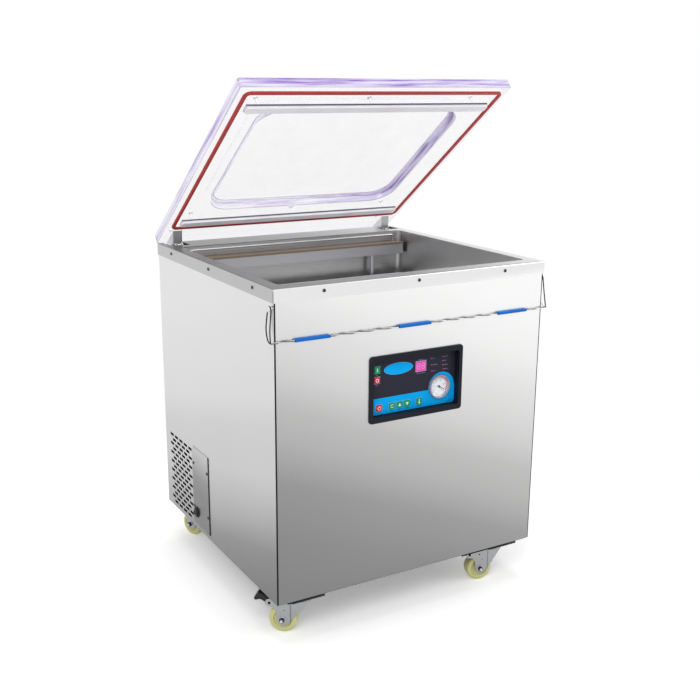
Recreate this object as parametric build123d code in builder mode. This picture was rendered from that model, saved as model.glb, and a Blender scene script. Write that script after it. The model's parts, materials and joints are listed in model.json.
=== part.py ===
from build123d import *
import math
import os

# Floor-standing chamber vacuum sealer: a sheet-steel cabinet on four braked swivel castors, a deep
# stainless chamber let into its deck, two rising seal bars, and a thick clear lid on gas struts.
# Millimetres, +Z up, the front faces -Y. The origin is on the floor, under the middle of the machine
# with its lid open.

# ---------------------------------------------------------------- driving dimensions
rim_width = 700.0
rim_depth = 665.0
rim_height = 29.0
rim_bend = 3.0
deck_sheet = 1.5
cabinet_height = 669.0
castor_height = 104.0
panel_inset = 1.8
panel_sheet = 1.5
panel_tuck = 24.0
panel_return = 12.0
corner_seam = 2.2
rim_seam = 1.2
base_sheet = 3.0
frame_tube = 20.0
seat_gap = 0.3
running_gap = 0.05

# chamber
opening_side = 30.0
opening_width = rim_width - 2 * opening_side
opening_front = 35.0
opening_rear = 91.0
opening_length = rim_depth - opening_front - opening_rear
opening_corner = 14.0
chamber_depth = 150.0
chamber_wall = 2.0
chamber_flange = 12.0
chamber_floor_round = 10.0
port_bore = 14.0
port_stub = 24.0
board_count = 2
board_thickness = 20.0
board_margin = 8.0

# lid
lid_inset = 4.0
lid_width = rim_width - 2 * lid_inset
lid_front_overhang = 1.9
lid_thickness = 23.0
lid_corner = 6.0
lid_gap = 4.7
lid_rear_overhang = 6.6
lid_open_angle = 36.17
hinge_inset = 7.5
hinge_from_front = rim_depth - hinge_inset
lid_length = hinge_from_front + lid_rear_overhang + lid_front_overhang
hinge_below_deck = 28.5
hinge_pin = 5.0
hinge_boss = 8.0
gasket_width = 9.0
gasket_inset = 15.0
gasket_bar_gap = 27.5
gasket_corner = 16.0
recess_width = 527.0
recess_rear_gap = 51.5
recess_front_gap = 16.5
recess_depth = 21.0
recess_corner = 60.0
recess_draft = 8.0
dome_rise = 12.0
dome_wall = 9.0
bar_screw_end = 32.5
bar_screw = 2.5

# seal bars
bar_end_gap = 7.5
bar_length = opening_width - 2 * bar_end_gap
bar_screw_spacing = bar_length / 2 - bar_screw_end
bar_width = 25.0
bar_height = 30.0
bar_below_deck = 27.0
bar_travel = 20.0
front_bar_gap = 34.6
rear_bar_gap = 19.4
counter_bar_width = 22.0
counter_bar_plate = 4.0
silicone_width = 20.0
silicone_height = 6.0
tape_thickness = 1.0
tape_drop = 4.6
lift_rod = 6.0
lift_rod_end = 92.5
lift_rod_spacing = bar_length - 2 * lift_rod_end
lift_cylinder = 20.0
lift_cylinder_height = 70.0
lift_cylinder_cap = 4.0
piston_height = 8.0
rod_wire = 2.0
rod_below_deck = 10.0
rod_clip_height = 12.0
rod_leg = 26.0

# hinge arms and gas struts
arm_inset = 26.5
arm_outer = lid_width / 2 - arm_inset
arm_width = 23.5
arm_sheet = 3.0
arm_web_top = 58.5
arm_web_foot_back = 36.6
arm_web_foot_up = 10.0
slot_side = 14.0
slot_width = 50.0
slot_outer = rim_width / 2 - slot_side
slot_inner = slot_outer - slot_width
slot_reach = 63.0
slot_front = rim_depth - slot_reach
ear_sheet = 5.0
ear_gap = 2.2
strut_lever = 36.0
strut_pin = 3.0
strut_eye = 7.0
strut_eye_slack = 2.0
strut_foot_inset = 40.0
strut_foot_from_front = rim_depth - strut_foot_inset
strut_foot_below_deck = 235.0
strut_tube = 9.0
strut_tube_wall = 1.5
strut_tube_length = 140.0
strut_rod = 4.0
strut_gland = 6.0
strut_lug_sheet = 3.0

# control panel
frame_width = 246.0
frame_tall = 152.0
frame_below_deck = 246.0
frame_proud = 4.0
frame_corner = 8.0
window_width = 226.0
window_tall = 127.0
window_corner = 5.0
tub_wall = 3.0
face_from_front = 14.0
face_sheet = 3.0
tub_lip = 3.0
key_width = 14.4
key_tall = 15.0
key_proud = 2.0
key_corner = 2.0
key_row_below_deck = 292.8
gauge_across = 70.0
gauge_below_deck = 266.0
gauge_bezel = 27.6
gauge_can = 26.2
gauge_bore = 25.0
gauge_proud = 6.0
gauge_glass_sheet = 1.5
dial_sunk = 3.0
needle_length = 22.0
needle_hub = 2.5
needle_shaft = 1.0
needle_rest_angle = -30.0
display_across = 19.2
display_below_deck = 211.5
display_width = 26.4
display_tall = 23.2

# side details
vent_length = 23.0
vent_width = 7.0
vent_pitch = 31.2
vent_row_pitch = 12.4
vent_columns = 5
vent_row_pairs = 8
vent_from_rear = 110.0
vent_from_front = rim_depth - vent_from_rear
vent_below_deck = 583.7
cover_from_rear = 290.0
cover_front = rim_depth - cover_from_rear
cover_width = 100.0
cover_top_below_deck = 482.0
cover_tall = 204.0
cover_sheet = 1.5
cover_hole_margin = 12.0
cover_screw_margin = 2.5
cover_screw_rise = 116.0
gland_from_cover = 79.0
gland_from_front = cover_front + gland_from_cover
gland_below_deck = 654.0
gland_radius = 14.5
gland_bore = 5.0
gland_proud = 6.0

# hold-down bail
bail_wire_radius = 1.4
bail_run_radius = 2.6
bail_side_gap = 8.0
bail_half_width = rim_width / 2 + bail_side_gap
bail_run_below_deck = 110.0
bail_pivot_from_front = 12.0
bail_pivot_below_deck = 42.0
bail_loop_half = 7.0
bail_stud = 3.7
bail_stud_head = 6.5
bail_lean = 5.5
bail_stand_off = bail_half_width - bail_lean
bail_joint_step = 0.1
sleeve_radius = 4.0
sleeve_length = 82.0
sleeve_left_gap = 96.0
sleeve_middle = -10.0
sleeve_right_gap = 100.0
sleeve_centres = (sleeve_left_gap - bail_half_width, sleeve_middle, bail_half_width - sleeve_right_gap)

# castors
castor_inset_x = 80.0
castor_inset_front = 45.0
castor_inset_rear = 60.0
castor_trail = 38.0
wheel_radius = 32.5
wheel_width = 28.0
wheel_round = 5.0
hub_radius = 20.0
hub_sunk = 3.0
axle_radius = 4.0
kingpin_radius = 5.0
castor_plate_length = 84.0
castor_plate_width = 84.0
castor_plate_sheet = 7.0
race_radius = 22.0
race_height = 13.0
fork_sheet = 2.5
wheel_side_gap = 1.5
brake_pivot_out = 29.0
brake_pivot_up = 40.0
brake_ear = 9.0
brake_pin = 3.0
brake_travel = 20.0
brake_reach = 37.0
brake_rise = 20.0
crown_sheet = 3.0
castor_headings = {
    "front_left": 139.0,
    "front_right": 166.0,
    "rear_left": 112.0,
    "rear_right": 150.0,
}

# fasteners
screw_head = 4.0
screw_head_height = 1.6
screw_shank = 2.0
screw_hole = 2.2
front_screw_end = 116.0
front_screw_spacing = rim_width / 2 - front_screw_end
side_screw_spacing = 235.0
screw_below_deck = 13.0

# ---------------------------------------------------------------- derived places
lean = math.radians(lid_open_angle)
lid_under = hinge_below_deck + lid_gap
# distances forward from the rear edge of the closed lid
lid_rear_line = hinge_from_front + lid_rear_overhang
front_bar_line = lid_rear_line - opening_front - front_bar_gap
rear_bar_line = lid_rear_line - opening_front - opening_length + rear_bar_gap
gasket_rear_line = rear_bar_line - gasket_bar_gap
recess_near = rear_bar_line + recess_rear_gap
recess_far = front_bar_line - recess_front_gap
lid_rear_reach = (
    hinge_from_front + lid_rear_overhang * math.cos(lean) + (lid_under + lid_thickness) * math.sin(lean)
)
bail_run_from_front = panel_inset - seat_gap - sleeve_radius
bail_front_reach = sleeve_radius - bail_run_from_front
front_y = -(lid_rear_reach - bail_front_reach) / 2
base_z = castor_height
skirt_z = base_z + cabinet_height
deck_top = skirt_z + rim_height
deck_under = deck_top - deck_sheet
panel_top = skirt_z + panel_tuck
rim_mid = rim_depth / 2
side_out = rim_width / 2 - panel_inset
side_in = side_out - panel_sheet
screw_depth = panel_inset + panel_sheet
opening_back = opening_front + opening_length
opening_mid = opening_front + opening_length / 2
chamber_floor = deck_top - chamber_depth
chamber_bottom = chamber_floor - chamber_wall
frame_top = deck_under - chamber_wall
lid_rear_closed = hinge_from_front + lid_rear_overhang
front_bar_y = lid_rear_closed - front_bar_line
rear_bar_y = lid_rear_closed - rear_bar_line


def back(distance):
    """Y of a place this far behind the rim's front edge."""
    return front_y + distance


def front_plane(distance):
    """Upright plane facing the front, this far behind the rim's front edge, with X and Z as its axes."""
    return Plane.XZ.offset(-back(distance))


def side_plane(x):
    """Upright plane across the machine at x, with Y and Z as its axes."""
    return Plane.YZ.offset(x)


def level(z):
    return Plane.XY.offset(z)


hinge_y = back(hinge_from_front)
hinge_z = deck_top - hinge_below_deck
lid_rearward = (0, math.cos(lean), -math.sin(lean))
lid_outward = (0, math.sin(lean), math.cos(lean))
lid_plane = Plane(origin=(0, hinge_y, hinge_z), x_dir=(1, 0, 0), z_dir=lid_outward)
lid_axis = Axis((0, 0, 0), lid_outward)


def lid_side(x):
    """Plane across the open lid at x: its axes run rearward along the lid and outward from it."""
    return Plane(origin=(x, hinge_y, hinge_z), x_dir=lid_rearward, z_dir=(1, 0, 0))


def from_rear(distance):
    """Place along the lid this far in front of its rear edge, measured from the hinge axis."""
    return lid_rear_overhang - distance


os.makedirs("parts", exist_ok=True)

# ---------------------------------------------------------------- fastener places
front_screws = [(i * front_screw_spacing, deck_top - screw_below_deck) for i in (-1, 0, 1)]
side_screws = [(back(rim_mid + i * side_screw_spacing), deck_top - screw_below_deck) for i in (-1, 0, 1)]
cover_mid_y = back(cover_front + cover_width / 2)
cover_mid_z = deck_top - cover_top_below_deck - cover_tall / 2
cover_screw_spacing = (cover_width - 2 * (screw_head + cover_screw_margin), cover_screw_rise)


# ---------------------------------------------------------------- cabinet sheets
with BuildPart() as front_panel:
    with BuildSketch(level(base_z)):
        with Locations((0, back(panel_inset + panel_sheet / 2))):
            Rectangle(2 * (side_in - corner_seam), panel_sheet)
    extrude(amount=panel_top - base_z)
    with BuildSketch(front_plane(panel_inset)):
        with Locations((0, deck_top - frame_below_deck)):
            RectangleRounded(
                window_width + 2 * (tub_wall + seat_gap), window_tall + 2 * (tub_wall + seat_gap), window_corner
            )
        with Locations(*front_screws):
            Circle(screw_hole)
    extrude(amount=-panel_sheet, mode=Mode.SUBTRACT)

front_panel.part.label = "front_panel"
export_step(front_panel.part, "parts/front_panel.step")


def side_sheet(side):
    """One side sheet, folded inward at the front and the rear, with its vents and its bail stud."""
    front_fold = panel_inset + panel_sheet
    rear_fold = rim_depth - panel_inset - panel_sheet
    outer = side * side_out
    inward = -side
    with BuildPart() as sheet:
        with BuildSketch(level(base_z)):
            with BuildLine():
                Polyline(
                    (outer + inward * panel_return, back(front_fold)),
                    (outer, back(front_fold)),
                    (outer, back(rear_fold)),
                    (outer + inward * panel_return, back(rear_fold)),
                    (outer + inward * panel_return, back(rear_fold - panel_sheet)),
                    (outer + inward * panel_sheet, back(rear_fold - panel_sheet)),
                    (outer + inward * panel_sheet, back(front_fold + panel_sheet)),
                    (outer + inward * panel_return, back(front_fold + panel_sheet)),
                    close=True,
                )
            make_face()
        extrude(amount=panel_top - base_z)
        with BuildSketch(side_plane(outer)):
            with Locations((back(vent_from_front), deck_top - vent_below_deck)):
                with GridLocations(vent_pitch, 2 * vent_row_pitch, vent_columns, vent_row_pairs):
                    Rectangle(vent_length, vent_width)
            with Locations((back(vent_from_front), deck_top - vent_below_deck - vent_row_pitch)):
                with GridLocations(vent_pitch, 2 * vent_row_pitch, vent_columns - 1, vent_row_pairs):
                    Rectangle(vent_length, vent_width)
            with Locations(*side_screws):
                Circle(screw_hole)
            if side < 0:
                with Locations((cover_mid_y, cover_mid_z)):
                    RectangleRounded(
                        cover_width - 2 * cover_hole_margin, cover_tall - 2 * cover_hole_margin, screw_head
                    )
        extrude(amount=inward * panel_sheet, mode=Mode.SUBTRACT)
        stud_length = bail_stand_off + bail_wire_radius + seat_gap - side_out
        with BuildSketch(side_plane(outer)):
            with Locations((back(bail_pivot_from_front), deck_top - bail_pivot_below_deck)):
                Circle(bail_stud)
        extrude(amount=side * stud_length)
        with BuildSketch(side_plane(outer + side * stud_length)):
            with Locations((back(bail_pivot_from_front), deck_top - bail_pivot_below_deck)):
                Circle(bail_stud_head)
        extrude(amount=side * screw_head_height)
    return sheet


left_panel = side_sheet(-1)
left_panel.part.label = "left_panel"
export_step(left_panel.part, "parts/left_panel.step")

right_panel = side_sheet(1)
right_panel.part.label = "right_panel"
export_step(right_panel.part, "parts/right_panel.step")

with BuildPart() as rear_panel:
    with BuildSketch(front_plane(rim_depth - panel_inset)):
        with Locations((0, (base_z + panel_top) / 2)):
            Rectangle(2 * (side_in - corner_seam), panel_top - base_z)
    extrude(amount=panel_sheet)
    # notches that the hinge arms swing through
    notch_floor = hinge_z - 3 * hinge_boss
    with BuildSketch(front_plane(rim_depth - panel_inset)):
        with Locations(*[(s * (slot_inner + slot_outer) / 2, (notch_floor + panel_top) / 2) for s in (-1, 1)]):
            Rectangle(slot_outer - slot_inner, panel_top - notch_floor)
    extrude(amount=panel_sheet, mode=Mode.SUBTRACT)

rear_panel.part.label = "rear_panel"
export_step(rear_panel.part, "parts/rear_panel.step")

frame_front = panel_inset + 2 * panel_sheet
frame_back = rim_depth - panel_inset - 2 * panel_sheet
frame_mid = (frame_front + frame_back) / 2

with BuildPart() as base_plate:
    with BuildSketch(level(base_z)):
        with Locations((0, back(frame_mid))):
            Rectangle(2 * side_in, frame_back - frame_front)
    extrude(amount=base_sheet)

base_plate.part.label = "base_plate"
export_step(base_plate.part, "parts/base_plate.step")

# ---------------------------------------------------------------- welded inner frame
post_x = side_in - frame_tube / 2
strut_foot_y = back(strut_foot_from_front)
strut_foot_z = deck_top - strut_foot_below_deck
strut_x = arm_outer - arm_width / 2
cross_rail_mid = opening_back + chamber_wall + seat_gap + frame_tube / 2

with BuildPart() as inner_frame:
    # four posts on the base plate
    with BuildSketch(level(base_z + base_sheet)):
        with Locations((0, back(frame_mid))):
            with GridLocations(2 * post_x, frame_back - frame_front - frame_tube, 2, 2):
                Rectangle(frame_tube, frame_tube)
    extrude(amount=frame_top - base_z - base_sheet)
    # top rails: both sides, the front, and one across behind the chamber
    with BuildSketch(level(frame_top - frame_tube)):
        with Locations((-post_x, back(frame_mid)), (post_x, back(frame_mid))):
            Rectangle(frame_tube, frame_back - frame_front)
        with Locations((0, back(frame_front + frame_tube / 2)), (0, back(cross_rail_mid))):
            Rectangle(2 * post_x, frame_tube)
    extrude(amount=frame_tube)
    # rail between the rear posts with the lugs that hold the feet of the gas struts
    with BuildSketch(front_plane(frame_back - frame_tube)):
        with Locations((0, strut_foot_z)):
            Rectangle(2 * post_x, frame_tube)
    extrude(amount=-frame_tube)
    lug_offset = (strut_eye + strut_lug_sheet) / 2 + seat_gap
    for lug_x in [s * strut_x + t * lug_offset for s in (-1, 1) for t in (-1, 1)]:
        with BuildSketch(side_plane(lug_x - strut_lug_sheet / 2)):
            with BuildLine():
                Polyline(
                    (back(frame_back - frame_tube), strut_foot_z - strut_eye),
                    (strut_foot_y, strut_foot_z - strut_eye),
                    (strut_foot_y, strut_foot_z + strut_eye),
                    (back(frame_back - frame_tube), strut_foot_z + strut_eye),
                    close=True,
                )
            make_face()
            with Locations((strut_foot_y, strut_foot_z)):
                Circle(strut_eye)
        extrude(amount=strut_lug_sheet)
    for pin_x in (-strut_x, strut_x):
        pin_half = lug_offset + strut_lug_sheet / 2
        with BuildSketch(side_plane(pin_x - pin_half)):
            with Locations((strut_foot_y, strut_foot_z)):
                Circle(strut_pin)
        extrude(amount=2 * pin_half)

inner_frame.part.label = "inner_frame"
export_step(inner_frame.part, "parts/inner_frame.step")

# ---------------------------------------------------------------- deck
with BuildPart() as deck:
    with BuildSketch(level(skirt_z)):
        with Locations((0, back(rim_mid))):
            Rectangle(rim_width, rim_depth)
    extrude(amount=rim_height)
    fillet(deck.edges().group_by(Axis.Z)[-1], radius=rim_bend)
    with BuildSketch(level(skirt_z)):
        with Locations((0, back(rim_mid))):
            Rectangle(rim_width - 2 * deck_sheet, rim_depth - 2 * deck_sheet)
    extrude(amount=rim_height - deck_sheet, mode=Mode.SUBTRACT)
    # chamber opening
    with BuildSketch(level(deck_under)):
        with Locations((0, back(opening_mid))):
            RectangleRounded(opening_width, opening_length, opening_corner)
    extrude(amount=deck_sheet, mode=Mode.SUBTRACT)
    # hinge slots, open to the rear through the skirt
    slot_length = rim_depth - slot_front
    with BuildSketch(level(skirt_z)):
        with Locations(*[(s * (slot_inner + slot_outer) / 2, back(rim_depth - slot_length / 2)) for s in (-1, 1)]):
            Rectangle(slot_outer - slot_inner, slot_length)
    extrude(amount=rim_height, mode=Mode.SUBTRACT)
    # open fold seams at the corners of the skirt
    with BuildSketch(level(skirt_z)):
        with Locations((-rim_width / 2, back(0)), (rim_width / 2, back(rim_depth))):
            Rectangle(4 * deck_sheet, rim_seam, rotation=45)
        with Locations((rim_width / 2, back(0)), (-rim_width / 2, back(rim_depth))):
            Rectangle(4 * deck_sheet, rim_seam, rotation=-45)
    extrude(amount=rim_height - deck_sheet - rim_bend, mode=Mode.SUBTRACT)
    # screw holes
    with BuildSketch(front_plane(0)):
        with Locations(*front_screws):
            Circle(screw_hole)
    extrude(amount=-deck_sheet, mode=Mode.SUBTRACT)
    for side in (-1, 1):
        with BuildSketch(side_plane(side * rim_width / 2)):
            with Locations(*side_screws):
                Circle(screw_hole)
        extrude(amount=-side * deck_sheet, mode=Mode.SUBTRACT)

deck.part.label = "deck"
export_step(deck.part, "parts/deck.step")

# ---------------------------------------------------------------- chamber
lift_rod_x = lift_rod_spacing / 2
lift_places = [(s * lift_rod_x, back(y)) for s in (-1, 1) for y in (front_bar_y, rear_bar_y)]

with BuildPart() as chamber:
    with BuildSketch(level(chamber_bottom)):
        with Locations((0, back(opening_mid))):
            RectangleRounded(
                opening_width + 2 * chamber_wall, opening_length + 2 * chamber_wall, opening_corner + chamber_wall
            )
    extrude(amount=deck_under - chamber_bottom)
    fillet(chamber.edges().group_by(Axis.Z)[0], radius=chamber_floor_round)
    with BuildSketch(level(frame_top)):
        with Locations((0, back(opening_mid))):
            RectangleRounded(
                opening_width + 2 * chamber_flange, opening_length + 2 * chamber_flange, opening_corner + chamber_flange
            )
    extrude(amount=chamber_wall)
    with BuildSketch(level(chamber_floor)):
        with Locations((0, back(opening_mid))):
            RectangleRounded(opening_width, opening_length, opening_corner)
    extrude(amount=deck_under - chamber_floor, mode=Mode.SUBTRACT)
    # glands for the lift rods, and the vacuum port with its pipe stub
    with BuildSketch(level(chamber_bottom)):
        with Locations(*lift_places):
            Circle(lift_rod + running_gap)
    extrude(amount=chamber_wall, mode=Mode.SUBTRACT)
    with BuildSketch(level(chamber_bottom)):
        with Locations((0, back(rear_bar_y))):
            Circle(port_bore + chamber_wall)
    extrude(amount=-port_stub)
    with BuildSketch(level(chamber_bottom - port_stub)):
        with Locations((0, back(rear_bar_y))):
            Circle(port_bore)
    extrude(amount=port_stub + chamber_wall, mode=Mode.SUBTRACT)

chamber.part.label = "chamber"
export_step(chamber.part, "parts/chamber.step")

board_front = front_bar_y + bar_width / 2 + board_margin
board_length = rear_bar_y - bar_width / 2 - board_margin - board_front
board_width = bar_length - 2 * board_margin

with BuildPart() as filler_boards:
    for layer in range(board_count):
        with BuildSketch(level(chamber_floor + layer * board_thickness)):
            with Locations((0, back(board_front + board_length / 2))):
                RectangleRounded(board_width, board_length, opening_corner)
        extrude(amount=board_thickness - running_gap)

filler_boards.part.label = "filler_boards"
export_step(filler_boards.part, "parts/filler_boards.step")

# ---------------------------------------------------------------- seal bars and their lifts
bar_top = deck_top - bar_below_deck - tape_thickness


def seal_bar(bar_y):
    """Seal bar with its two lift rods and pistons."""
    rod_places = [(s * lift_rod_x, back(bar_y)) for s in (-1, 1)]
    piston_z = chamber_bottom - lift_cylinder_height + lift_cylinder_cap + seat_gap
    with BuildPart() as bar:
        with BuildSketch(level(bar_top - bar_height)):
            with Locations((0, back(bar_y))):
                Rectangle(bar_length, bar_width)
        extrude(amount=bar_height)
        with BuildSketch(level(piston_z)):
            with Locations(*rod_places):
                Circle(lift_rod)
        extrude(amount=bar_top - bar_height - piston_z)
        with BuildSketch(level(piston_z)):
            with Locations(*rod_places):
                Circle(lift_cylinder - lift_cylinder_cap - running_gap)
        extrude(amount=piston_height)
    return bar


def seal_tape(bar_y):
    """Release tape over the heating strip, folded down both sides of its seal bar."""
    with BuildPart() as tape:
        with BuildSketch(level(bar_top - tape_drop)):
            with Locations((0, back(bar_y))):
                Rectangle(bar_length, bar_width + 2 * tape_thickness)
        extrude(amount=tape_drop + tape_thickness)
        fillet(tape.edges().filter_by(Axis.X).group_by(Axis.Z)[-1], radius=0.8 * tape_thickness)
        with BuildSketch(level(bar_top - tape_drop)):
            with Locations((0, back(bar_y))):
                Rectangle(bar_length, bar_width)
        extrude(amount=tape_drop, mode=Mode.SUBTRACT)
    return tape


front_seal_bar = seal_bar(front_bar_y)
front_seal_bar.part.label = "front_seal_bar"
export_step(front_seal_bar.part, "parts/front_seal_bar.step")

rear_seal_bar = seal_bar(rear_bar_y)
rear_seal_bar.part.label = "rear_seal_bar"
export_step(rear_seal_bar.part, "parts/rear_seal_bar.step")

front_seal_tape = seal_tape(front_bar_y)
front_seal_tape.part.label = "front_seal_tape"
export_step(front_seal_tape.part, "parts/front_seal_tape.step")

rear_seal_tape = seal_tape(rear_bar_y)
rear_seal_tape.part.label = "rear_seal_tape"
export_step(rear_seal_tape.part, "parts/rear_seal_tape.step")

with BuildPart() as lift_cylinders:
    with BuildSketch(level(chamber_bottom - lift_cylinder_height)):
        with Locations(*lift_places):
            Circle(lift_cylinder)
    extrude(amount=lift_cylinder_height)
    with BuildSketch(level(chamber_bottom - lift_cylinder_height + lift_cylinder_cap)):
        with Locations(*lift_places):
            Circle(lift_cylinder - lift_cylinder_cap)
    extrude(amount=lift_cylinder_height - 2 * lift_cylinder_cap, mode=Mode.SUBTRACT)
    with BuildSketch(level(chamber_bottom - lift_cylinder_cap)):
        with Locations(*lift_places):
            Circle(lift_rod + running_gap)
    extrude(amount=lift_cylinder_cap, mode=Mode.SUBTRACT)

lift_cylinders.part.label = "lift_cylinders"
export_step(lift_cylinders.part, "parts/lift_cylinders.step")

# wire rods that hold the bag mouths over the bars, each in two clips on the chamber wall
rod_half = bar_length / 2 - 2 * board_margin
bag_rod_walls = (
    (opening_front, front_bar_y - bar_width / 2 - tape_thickness - 2 * rod_wire),
    (opening_back, opening_back - rod_wire - tape_thickness),
)

with BuildPart() as bag_rods:
    for wall_y, rod_y in bag_rod_walls:
        with BuildLine(front_plane(rod_y)) as rod_path:
            FilletPolyline(
                (-rod_half, deck_top - rod_below_deck - rod_leg),
                (-rod_half, deck_top - rod_below_deck),
                (rod_half, deck_top - rod_below_deck),
                (rod_half, deck_top - rod_below_deck - rod_leg),
                radius=3 * rod_wire,
            )
        with BuildSketch(Plane(origin=rod_path.line @ 0, z_dir=rod_path.line % 0)):
            Circle(rod_wire)
        sweep(path=rod_path.line)
        clip_depth = abs(wall_y - rod_y) + rod_wire
        clip_mid = (wall_y + rod_y + math.copysign(rod_wire, rod_y - wall_y)) / 2
        with BuildSketch(level(deck_top - rod_below_deck - rod_leg)):
            with Locations((-rod_half, back(clip_mid)), (rod_half, back(clip_mid))):
                Rectangle(4 * rod_wire, clip_depth)
        extrude(amount=rod_clip_height)

bag_rods.part.label = "bag_rods"
export_step(bag_rods.part, "parts/bag_rods.step")

# ---------------------------------------------------------------- lid
dome_mid = from_rear((recess_near + recess_far) / 2)
recess_length = recess_far - recess_near
bar_screw_places = [
    (i * bar_screw_spacing, from_rear(line)) for i in (-1, 0, 1) for line in (front_bar_line, rear_bar_line)
]
arm_mid = arm_outer - arm_width / 2
arm_screw_places = [(s * arm_mid, -d) for s in (-1, 1) for d in (0.75 * arm_web_top, 0.25 * arm_web_top)]

with BuildPart() as lid_plate:
    with BuildSketch(lid_plane.offset(lid_under)):
        with Locations((0, from_rear(lid_length / 2))):
            RectangleRounded(lid_width, lid_length, lid_corner)
    extrude(amount=lid_thickness)
    with BuildSketch(lid_plane.offset(lid_under + lid_thickness)):
        with Locations((0, dome_mid)):
            RectangleRounded(
                recess_width + 2 * dome_wall, recess_length + 2 * dome_wall, recess_corner + dome_wall
            )
    extrude(amount=dome_rise, taper=recess_draft)
    fillet(lid_plate.faces().sort_by(lid_axis)[-1].edges(), radius=dome_rise / 2)
    with BuildSketch(lid_plane.offset(lid_under)):
        with Locations((0, dome_mid)):
            RectangleRounded(recess_width, recess_length, recess_corner)
    extrude(amount=recess_depth, taper=recess_draft, mode=Mode.SUBTRACT)
    with BuildSketch(lid_plane.offset(lid_under)):
        with Locations(*bar_screw_places, *arm_screw_places):
            Circle(bar_screw + running_gap)
    extrude(amount=lid_thickness, mode=Mode.SUBTRACT)

lid_plate.part.label = "lid_plate"
export_step(lid_plate.part, "parts/lid_plate.step")

gasket_height = lid_gap - seat_gap
gasket_half_width = lid_width / 2 - gasket_inset
gasket_front = from_rear(lid_length - gasket_inset)
gasket_rear = from_rear(gasket_rear_line - gasket_width / 2)
gasket_mid = (gasket_front + gasket_rear) / 2
gasket_length = gasket_rear - gasket_front

with BuildPart() as lid_gasket:
    with BuildSketch(lid_plane.offset(lid_under)):
        with Locations((0, gasket_mid)):
            RectangleRounded(2 * gasket_half_width, gasket_length, gasket_corner)
            RectangleRounded(
                2 * (gasket_half_width - gasket_width),
                gasket_length - 2 * gasket_width,
                gasket_corner - gasket_width,
                mode=Mode.SUBTRACT,
            )
    extrude(amount=-gasket_height)
    fillet(lid_gasket.faces().sort_by(lid_axis)[0].edges(), radius=gasket_height / 2)

lid_gasket.part.label = "lid_gasket"
export_step(lid_gasket.part, "parts/lid_gasket.step")

with BuildPart() as counter_bars:
    with BuildSketch(lid_plane.offset(lid_under)):
        with Locations((0, from_rear(front_bar_line)), (0, from_rear(rear_bar_line))):
            Rectangle(bar_length, counter_bar_width)
        with Locations(*bar_screw_places):
            Circle(bar_screw + running_gap, mode=Mode.SUBTRACT)
    extrude(amount=-counter_bar_plate)

counter_bars.part.label = "counter_bars"
export_step(counter_bars.part, "parts/counter_bars.step")

with BuildPart() as silicone_strips:
    with BuildSketch(lid_plane.offset(lid_under - counter_bar_plate)):
        with Locations((0, from_rear(front_bar_line)), (0, from_rear(rear_bar_line))):
            RectangleRounded(bar_length, silicone_width, silicone_width / 4)
    extrude(amount=-silicone_height)
    fillet(silicone_strips.faces().group_by(lid_axis)[0].edges(), radius=silicone_height / 4)

silicone_strips.part.label = "silicone_strips"
export_step(silicone_strips.part, "parts/silicone_strips.step")

# U-shaped arms: two wedge cheeks joined by a front web and a pad against the lid
arm_inner_gap = arm_width - 2 * arm_sheet


# side outline of a cheek, with the bosses at the hinge pin and at the strut pin left to circles
arm_cheek = [
    (-arm_web_top, lid_under),
    (hinge_boss, lid_under),
    (hinge_boss, 0),
    (0, -hinge_boss),
    (-strut_lever, -strut_eye),
    (-strut_lever - strut_eye, 0),
    (-arm_web_foot_back - arm_sheet, arm_web_foot_up),
]

with BuildPart() as hinge_arms:
    for side in (-1, 1):
        outer_face = side * arm_outer
        for cheek_x in (outer_face, outer_face - side * (arm_width - arm_sheet)):
            with BuildSketch(lid_side(cheek_x)):
                Polygon(*arm_cheek, align=None)
                Circle(hinge_boss)
                with Locations((-strut_lever, 0)):
                    Circle(strut_eye)
                Circle(hinge_pin + running_gap, mode=Mode.SUBTRACT)
            extrude(amount=-side * arm_sheet)
        # front web and lid pad
        with BuildSketch(lid_side(outer_face - side * arm_sheet)):
            with BuildLine():
                Polyline(
                    (-arm_web_top, lid_under),
                    (hinge_boss, lid_under),
                    (hinge_boss, lid_under - arm_sheet),
                    (-arm_web_top + 2 * arm_sheet, lid_under - arm_sheet),
                    (-arm_web_foot_back, arm_web_foot_up),
                    (-arm_web_foot_back - arm_sheet, arm_web_foot_up),
                    close=True,
                )
            make_face()
        extrude(amount=-side * arm_inner_gap)
        with BuildSketch(lid_side(outer_face)):
            with Locations((-strut_lever, 0)):
                Circle(strut_pin)
        extrude(amount=-side * arm_width)
    with BuildSketch(lid_plane.offset(lid_under)):
        with Locations(*arm_screw_places):
            Circle(bar_screw + running_gap)
    extrude(amount=-arm_sheet, mode=Mode.SUBTRACT)

hinge_arms.part.label = "hinge_arms"
export_step(hinge_arms.part, "parts/hinge_arms.step")

with BuildPart() as lid_screws:
    head_plane = lid_plane.offset(lid_under + lid_thickness)
    with BuildSketch(head_plane):
        with Locations(*bar_screw_places, *arm_screw_places):
            Circle(2 * bar_screw)
    extrude(amount=bar_screw)
    fillet(lid_screws.faces().group_by(lid_axis)[-1].edges(), radius=bar_screw / 2)
    with BuildSketch(head_plane):
        with Locations(*bar_screw_places, *arm_screw_places):
            Circle(bar_screw)
    extrude(amount=-(lid_thickness + arm_sheet))

lid_screws.part.label = "lid_screws"
export_step(lid_screws.part, "parts/lid_screws.step")

# ---------------------------------------------------------------- hinge brackets
# two ears welded to the side rail, a floor between them, and the hinge pin through both
bracket_front = frame_back - frame_tube
bracket_floor = hinge_z - hinge_boss - 2 * ear_sheet
ear_outer = side_in - frame_tube
ear_inner = arm_outer - arm_width - ear_gap

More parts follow.
